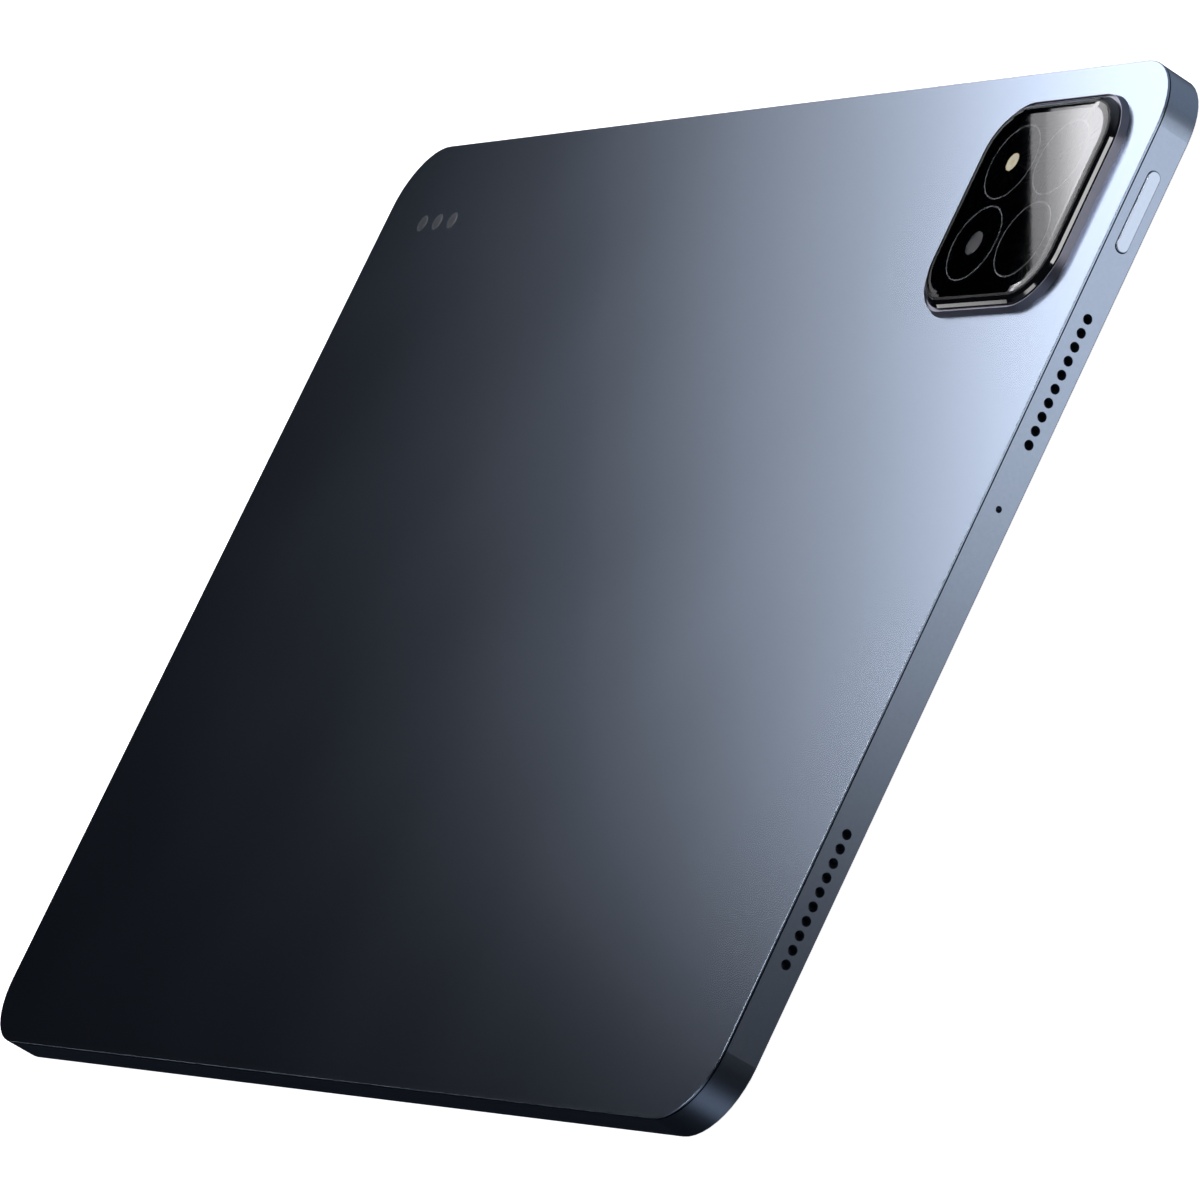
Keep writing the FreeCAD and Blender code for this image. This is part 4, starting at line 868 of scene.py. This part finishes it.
@dataclass
class DisplayStack(SubAssembly):
    """Cover glass, its print, the cell and the light behind it."""

    nodes: tuple[str, ...] = ("cover_glass", "bezel_print", "glass_surround", "display_tape", "lcd_cell",
                              "backlight_unit", "display_flex", "front_camera")
    diode_size: Point = (3.0 * MM, 0.5 * MM, 0.3 * MM)
    diode_pitch: float = 5.6 * MM
    diode_inset: float = 9.0 * MM

    def build(self) -> None:
        """Adds the row of light diodes inside the tray's lower edge."""
        low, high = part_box("backlight_unit")
        count = int((high.x - low.x - 2 * self.diode_inset) // self.diode_pitch)
        start = (low.x + high.x - (count - 1) * self.diode_pitch) / 2
        depth = (low.z + high.z - self.diode_size[2]) / 2
        seeds = [(start + i * self.diode_pitch, low.y + self.diode_size[1], depth) for i in range(count)]
        tree = block_growth("diode_row", self.diode_size)
        tree.grow("backlight_diodes", seeds, PHOSPHOR, Body.TABLET, "flash_plastic")


@dataclass
class CameraIsland(SubAssembly):
    """The raised camera block: skirt, trim, window, carrier, lens, flash and sensor."""

    nodes: tuple[str, ...] = ("camera_bezel", "camera_trim", "camera_window", "camera_mask", "camera_rings",
                              "rear_camera_housing", "rear_camera_barrel", "rear_camera_lens", "flash_led",
                              "flash_lens", "light_sensor")
    baffle_count: int = 5
    baffle_line: float = 0.09 * MM
    baffle_span: tuple[float, float] = (1.28, 1.02)
    ridge_count: int = 4
    ridge_line: float = 0.07 * MM
    ridge_span: tuple[float, float] = (0.8, 0.2)
    ridge_sink: float = 0.02 * MM

    def build(self) -> None:
        """Adds the baffle steps in the barrel's mouth and the ridges under the flash lens."""
        low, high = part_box("rear_camera_lens")
        centre = (low + high) / 2
        reach = (high.x - low.x) / 2
        barrel_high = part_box("rear_camera_barrel")[1]
        top = (centre.x, centre.y, barrel_high.z - 2 * self.baffle_line)
        wide, narrow = self.baffle_span
        steps = ring_growth("baffle_steps", self.baffle_count, reach * wide, reach * narrow,
                            barrel_high.z - high.z, self.baffle_line)
        steps.grow("lens_baffles", [top], BAFFLE, Body.LENS, "black_plastic")
        low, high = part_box("flash_lens")
        middle_x, middle_y, _ = flash_centre()
        half = (high.x - low.x) / 2
        wide, narrow = self.ridge_span
        ridges = ring_growth("flash_ridges", self.ridge_count, half * wide, half * narrow, self.ridge_sink,
                             self.ridge_line)
        ridges.grow("flash_lens_ridges", [(middle_x, middle_y, low.z)],
                    PALETTE["flash_plastic"], Body.TABLET, "flash_plastic")


@dataclass
class KeySet(SubAssembly):
    """The power key and the volume rocker with their domes, switches and brackets."""

    nodes: tuple[str, ...] = ("power_button", "power_dome", "power_switch", "power_bracket", "volume_rocker",
                              "volume_domes", "volume_switches", "volume_bracket")


@dataclass
class SpeakerSet(SubAssembly):
    """Four speakers: boxes, diaphragms, surrounds, magnets and the cloth behind the holes."""

    nodes: tuple[str, ...] = ("speaker_meshes", "speaker_magnets", "speaker_surrounds",
                              "speaker_box_right_upper", "speaker_box_right_lower", "speaker_box_left_upper",
                              "speaker_box_left_lower", "speaker_cone_right_upper", "speaker_cone_right_lower",
                              "speaker_cone_left_upper", "speaker_cone_left_lower")
    wire: float = 0.07 * MM
    pitch: float = 0.30 * MM

    def build(self) -> None:
        """Replaces the plain CAD strips by woven wire cloth of the same outline."""
        strips = solids_of("speaker_meshes")
        low, high = strips[0]
        tree = weave_growth(high.y - low.y, high.z - low.z, self.pitch, self.wire)
        seeds = [tuple((a + b) / 2) for a, b in strips]
        cloth = tree.grow("speaker_cloth", seeds, PALETTE["mesh_steel"], Body.TABLET, "mesh_steel")
        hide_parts("speaker_meshes")


@dataclass
class ChargingPort(SubAssembly):
    """The charging socket in the left wall, with its board."""

    nodes: tuple[str, ...] = ("port_shell", "port_tongue", "charge_board", "link_flex")
    pad_size: Point = (2.2 * MM, 0.25 * MM, 0.06 * MM)
    pad_pitch: float = 0.5 * MM
    pads: int = 12
    pad_start: float = 0.5 * MM
    tongue_half: float = 0.35 * MM

    def build(self) -> None:
        """Adds the contact pads on both faces of the tongue."""
        low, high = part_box("port_tongue")
        middle_y, middle_z = (low.y + high.y) / 2, (low.z + high.z) / 2
        x = low.x + self.pad_size[0] / 2 + self.pad_start
        half = self.tongue_half
        rows = [middle_z + half - self.pad_size[2] / 2, middle_z - half - self.pad_size[2] / 2]
        first = middle_y - (self.pads - 1) * self.pad_pitch / 2
        seeds = [(x, first + i * self.pad_pitch, z) for z in rows for i in range(self.pads)]
        tree = block_growth("socket_pads", self.pad_size)
        tree.grow("port_contacts", seeds, GOLD, Body.TABLET, "contact_metal")


@dataclass
class Electronics(SubAssembly):
    """Main board, cans, chips, contacts, microphones, magnets and aerials."""

    nodes: tuple[str, ...] = ("main_board", "shield_cans", "board_chips", "keyboard_contacts", "contact_block",
                              "microphones", "holding_magnets", "antennas")
    part_size: Point = (1.0 * MM, 0.5 * MM, 0.35 * MM)
    part_end: float = 0.22 * MM
    grid: float = 1.9 * MM
    clear: float = 0.85 * MM
    seed: int = 11
    probe_lift: float = 5 * MM
    probe_reach: float = 6 * MM

    def build(self) -> None:
        """Adds small capacitors and resistors wherever the board's face is free."""
        low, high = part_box("main_board")
        board = surface_of(("main_board",))
        blockers = surface_of(("shield_cans", "board_chips", "screws", "link_flex", "display_flex",
                               "battery_right", "battery_left", "microphones", "holding_magnets", "antennas",
                               "speaker_box_right_upper", "speaker_box_right_lower"))
        down = Vector((0, 0, -1))
        seeds: list[Point] = []
        columns, rows = int((high.x - low.x) // self.grid), int((high.y - low.y) // self.grid)
        for i in range(1, columns):
            for j in range(1, rows):
                x, y = low.x + i * self.grid, low.y + j * self.grid
                around = [Vector((x + a * self.clear, y + b * self.clear, high.z + self.probe_lift))
                          for a, b in ((0, 0), (1, 0), (-1, 0), (0, 1), (0, -1))]
                free = all(blockers.ray_cast(p, down, self.probe_reach)[0] is None for p in around)
                backed = all(board.ray_cast(p, down, self.probe_reach)[0] is not None for p in around)
                if free and backed:
                    seeds.append((x, y, high.z))
        tree = block_growth("board_parts", self.part_size, self.seed, self.part_end, TIN)
        tree.grow("board_passives", seeds, CERAMIC, Body.TABLET, "chip")


@dataclass
class PowerStore(SubAssembly):
    """The two pouch cells with their protection boards and pull tapes."""

    nodes: tuple[str, ...] = ("battery_left", "battery_right", "battery_boards", "battery_tapes")
    weld_size: Point = (1.6 * MM, 0.9 * MM, 0.12 * MM)
    weld_pitch: float = 3.2 * MM

    def build(self) -> None:
        """Adds the nickel weld tabs along the protection boards."""
        seeds: list[Point] = []
        for low, high in solids_of("battery_boards"):
            count = int((high.x - low.x) // self.weld_pitch) - 1
            start = (low.x + high.x - (count - 1) * self.weld_pitch) / 2
            seeds += [(start + i * self.weld_pitch, (low.y + high.y) / 2, high.z) for i in range(count)]
        tree = block_growth("weld_tabs", self.weld_size)
        tree.grow("battery_weld_tabs", seeds, TIN, Body.TABLET, "steel")


# ---------------------------------------------------------------- studio
def sheet(name: str, width: float, height: float) -> bpy.types.Mesh:
    """Makes a flat four-cornered mesh, centred on the origin and facing up."""
    mesh = bpy.data.meshes.new(name)
    w, h = width / 2, height / 2
    mesh.from_pydata([(-w, -h, 0), (w, -h, 0), (w, h, 0), (-w, h, 0)], [], [(0, 1, 2, 3)])
    return mesh


@dataclass
class Softbox:
    """A glowing panel, not seen by the camera, whose glow fades towards one edge."""

    name: str
    centre: Vector
    facing: Vector
    across: Vector
    size: tuple[float, float]
    strength: float
    fade: float
    floor_level: float = 0.15
    tint: str = "#ffffff"

    def build(self) -> None:
        """Makes the panel; its glow rises from floor_level at the faded edge to full over the fade length."""
        back = (-self.facing).normalized()
        side = (self.across - self.across.dot(back) * back).normalized()
        up = back.cross(side)
        mesh = sheet(self.name, *self.size)
        half_h = self.size[1] / 2
        obj = link_object(self.name, mesh)
        turn = Matrix((side, up, back)).transposed().to_4x4()
        turn.translation = self.centre
        obj.matrix_world = turn
        glow = bpy.data.materials.new(self.name + "_glow")
        glow.use_nodes = True
        tree = glow.node_tree
        tree.nodes.clear()
        place = add(tree, COORDS)
        parts = add(tree, SPLIT, {0: (place, "Object")})
        ramp = add(tree, RANGE, {0: (parts, 1), 1: -half_h, 2: -half_h + self.fade,
                                                3: self.strength * self.floor_level, 4: self.strength},
                   interpolation_type="SMOOTHSTEP")
        light = add(tree, "ShaderNodeEmission", {"Color": linear(self.tint), "Strength": (ramp, 0)})
        add(tree, "ShaderNodeOutputMaterial", {0: (light, 0)})
        mesh.materials.append(glow)
        obj.visible_camera = False
        obj.visible_shadow = False


@dataclass
class Studio:
    """Camera, pale floor, world and lights."""

    lens_mm: float = 231.4
    position: Point = (1.07692, -0.27001, 0.49121)
    right: Point = (0.4650, 0.4212, -0.7787)
    upward: Point = (0.0031, 0.8788, 0.4772)
    backward: Point = (0.8853, -0.2242, 0.4073)
    floor_size: float = 12.0

    def camera(self) -> None:
        """Sets the long lens at the three-quarter view from behind and above."""
        data = bpy.data.cameras.new("main_view")
        data.lens = self.lens_mm
        data.sensor_width = 36.0
        data.clip_end = 50.0
        obj = link_object("main_view", data)
        place = Matrix((self.right, self.upward, self.backward)).transposed().to_4x4()
        place.translation = self.position
        obj.matrix_world = place
        bpy.context.scene.camera = obj

    def floor(self) -> None:
        """Lays a plain pale floor that the metal doesn't mirror."""
        mesh = sheet("floor", self.floor_size, self.floor_size)
        obj = link_object("floor", mesh)
        paper = bpy.data.materials.new("matt_paper_floor")
        paper.use_nodes = True
        tree = paper.node_tree
        shader = tree.nodes["Principled BSDF"]
        place = add(tree, COORDS)
        fibre = add(tree, NOISE, {"Vector": (place, "Object"), "Scale": per_mm(2.0)})
        blend_colours(shader, (fibre, 0), "#f4f4f5", "#fafafa")
        feed(shader, {"Roughness": 0.9, "Specular IOR Level": 0.1,
                      "Emission Color": (1.0, 1.0, 1.0, 1.0), "Emission Strength": 0.75})
        mesh.materials.append(paper)
        obj.visible_glossy = False
        obj.visible_shadow = False

    def world(self) -> None:
        """White behind the scene, a soft fill on dull surfaces; mirrors see dark ends and pale side walls."""
        world = bpy.data.worlds.new("studio")
        world.use_nodes = True
        bpy.context.scene.world = world
        tree = world.node_tree
        tree.nodes.clear()
        path = add(tree, "ShaderNodeLightPath")
        sky = add(tree, COORDS)
        parts = add(tree, SPLIT, {0: (sky, "Generated")})
        sideways = add(tree, MATH, {0: (parts, 1)}, operation="ABSOLUTE")
        walls = add(tree, RANGE, {0: (sideways, 0), 1: 0.50, 2: 0.85, 3: 0.0, 4: 1.0},
                    interpolation_type="SMOOTHSTEP")
        far = add(tree, RANGE, {0: (parts, 0), 1: 0.0, 2: 0.35, 3: 1.0, 4: 0.0})
        low = add(tree, RANGE, {0: (parts, 2), 1: 0.0, 2: 0.2, 3: 1.0, 4: 0.0})
        front = add(tree, MATH, {0: (parts, 1), 1: 0.0}, operation="LESS_THAN")
        corner = add(tree, MATH, {0: (far, 0), 1: (low, 0)}, operation="MULTIPLY")
        hidden = add(tree, MATH, {0: (corner, 0), 1: (front, 0)}, operation="MULTIPLY")
        shown = add(tree, MATH, {0: 1.0, 1: (hidden, 0)}, operation="SUBTRACT")
        glow = add(tree, MATH, {0: (walls, 0), 1: (shown, 0)}, operation="MULTIPLY")
        tone = add(tree, "ShaderNodeMix", {0: (glow, 0), 6: linear("#05070d"), 7: linear("#8f98a6")},
                   data_type="RGBA")
        dark = add(tree, "ShaderNodeBackground", {"Color": (tone, 2), "Strength": 1.0})
        fill = add(tree, "ShaderNodeBackground", {"Color": linear("#f4f6fa"), "Strength": 0.55})
        white = add(tree, "ShaderNodeBackground", {"Color": (1.0, 1.0, 1.0, 1.0), "Strength": 1.0})
        soft = add(tree, MATH, {0: (path, "Diffuse Depth"), 1: 1.0}, operation="MINIMUM")
        dull = add(tree, "ShaderNodeMixShader", {0: (soft, 0), 1: (dark, 0), 2: (fill, 0)})
        seen = add(tree, "ShaderNodeMixShader", {0: (path, "Is Camera Ray"), 1: (dull, 0), 2: (white, 0)})
        add(tree, "ShaderNodeOutputWorld", {0: (seen, 0)})

    def lights(self) -> None:
        """Hangs the softboxes: one for the back, one for the near wall, and quiet ones for the other sides."""
        sight = Vector((-0.85, 0.29, 0.42))
        edge = Vector((0.1028, 0.0646, 0.0084)) + sight * 0.38
        line = Vector((-0.026, -0.867, 0.497)).normalized()
        rise = sight.normalized().cross(line)
        middle = edge + line * 0.03
        width, height, low, shade, glint = 0.27, 0.21, 0.055, 0.025, 0.016
        cool = "#fbfbff"
        Softbox("key_panel", middle + rise * height / 2, -sight, line, (width, height), strength=2.75,
                fade=0.012, floor_level=0.6, tint=cool).build()
        Softbox("shade_panel", middle - rise * (shade + low / 2), -sight, line, (width, low), strength=0.75,
                fade=0.045, floor_level=0.02, tint=cool).build()
        Softbox("glint_panel", middle + rise * 0.011 - sight * 0.01, -sight, line, (width, glint), strength=6.5,
                fade=0.009, floor_level=0.38, tint=cool).build()
        along_x, along_y = Vector((1, 0, 0)), Vector((0, 1, 0))
        for name, centre, across, size, strength, fade, floor_level in (
                ("top_panel", Vector((0.68, 0.34, 1.32)), along_y, (0.8, 0.26), 9.0, 0.06, 0.5),
                ("corner_panel", Vector((-0.05, -0.80, 1.02)), along_x, (0.7, 0.22), 5.0, 0.06, 0.5),
                ("near_end_panel", Vector((1.60, 0.36, 0.42)), along_y, (0.9, 0.6), 1.15, 0.2, 0.4),
                ("far_low_panel", Vector((-1.05, -0.47, 0.31)), Vector((0.43, -0.9, 0)), (0.14, 0.13), 2.4,
                 0.05, 0.3)):
            Softbox(name, centre, -centre, across, size, strength, fade, floor_level).build()
        wall_sight = Vector((0.885, 0.224, -0.407)).normalized()
        start = Vector((0.1256, 0.075, 0.003))
        Softbox("wall_panel", start + wall_sight * 0.22 - Vector((0, 0.022, 0)), -wall_sight,
                Vector((0, 0, -1)), (0.30, 0.19), strength=1.42, fade=0.09, floor_level=0.0,
                tint="#f6f9ff").build()

    def build(self) -> None:
        """Sets up camera, floor, world, lights and the plain display transform."""
        self.camera()
        self.floor()
        self.world()
        self.lights()
        bpy.context.scene.view_settings.view_transform = "Standard"


def main() -> None:
    """Builds the studio, then each sub-assembly in order."""
    logging.basicConfig(level=logging.INFO, format="%(name)s %(message)s", force=True)
    Studio().build()
    for group in (Housing(), DisplayStack(), CameraIsland(), KeySet(), SpeakerSet(), ChargingPort(),
                  Electronics(), PowerStore()):
        LOG.info("-- %s", type(group).__name__)
        group.dress()
        group.build()


if __name__ == "__main__":
    main()
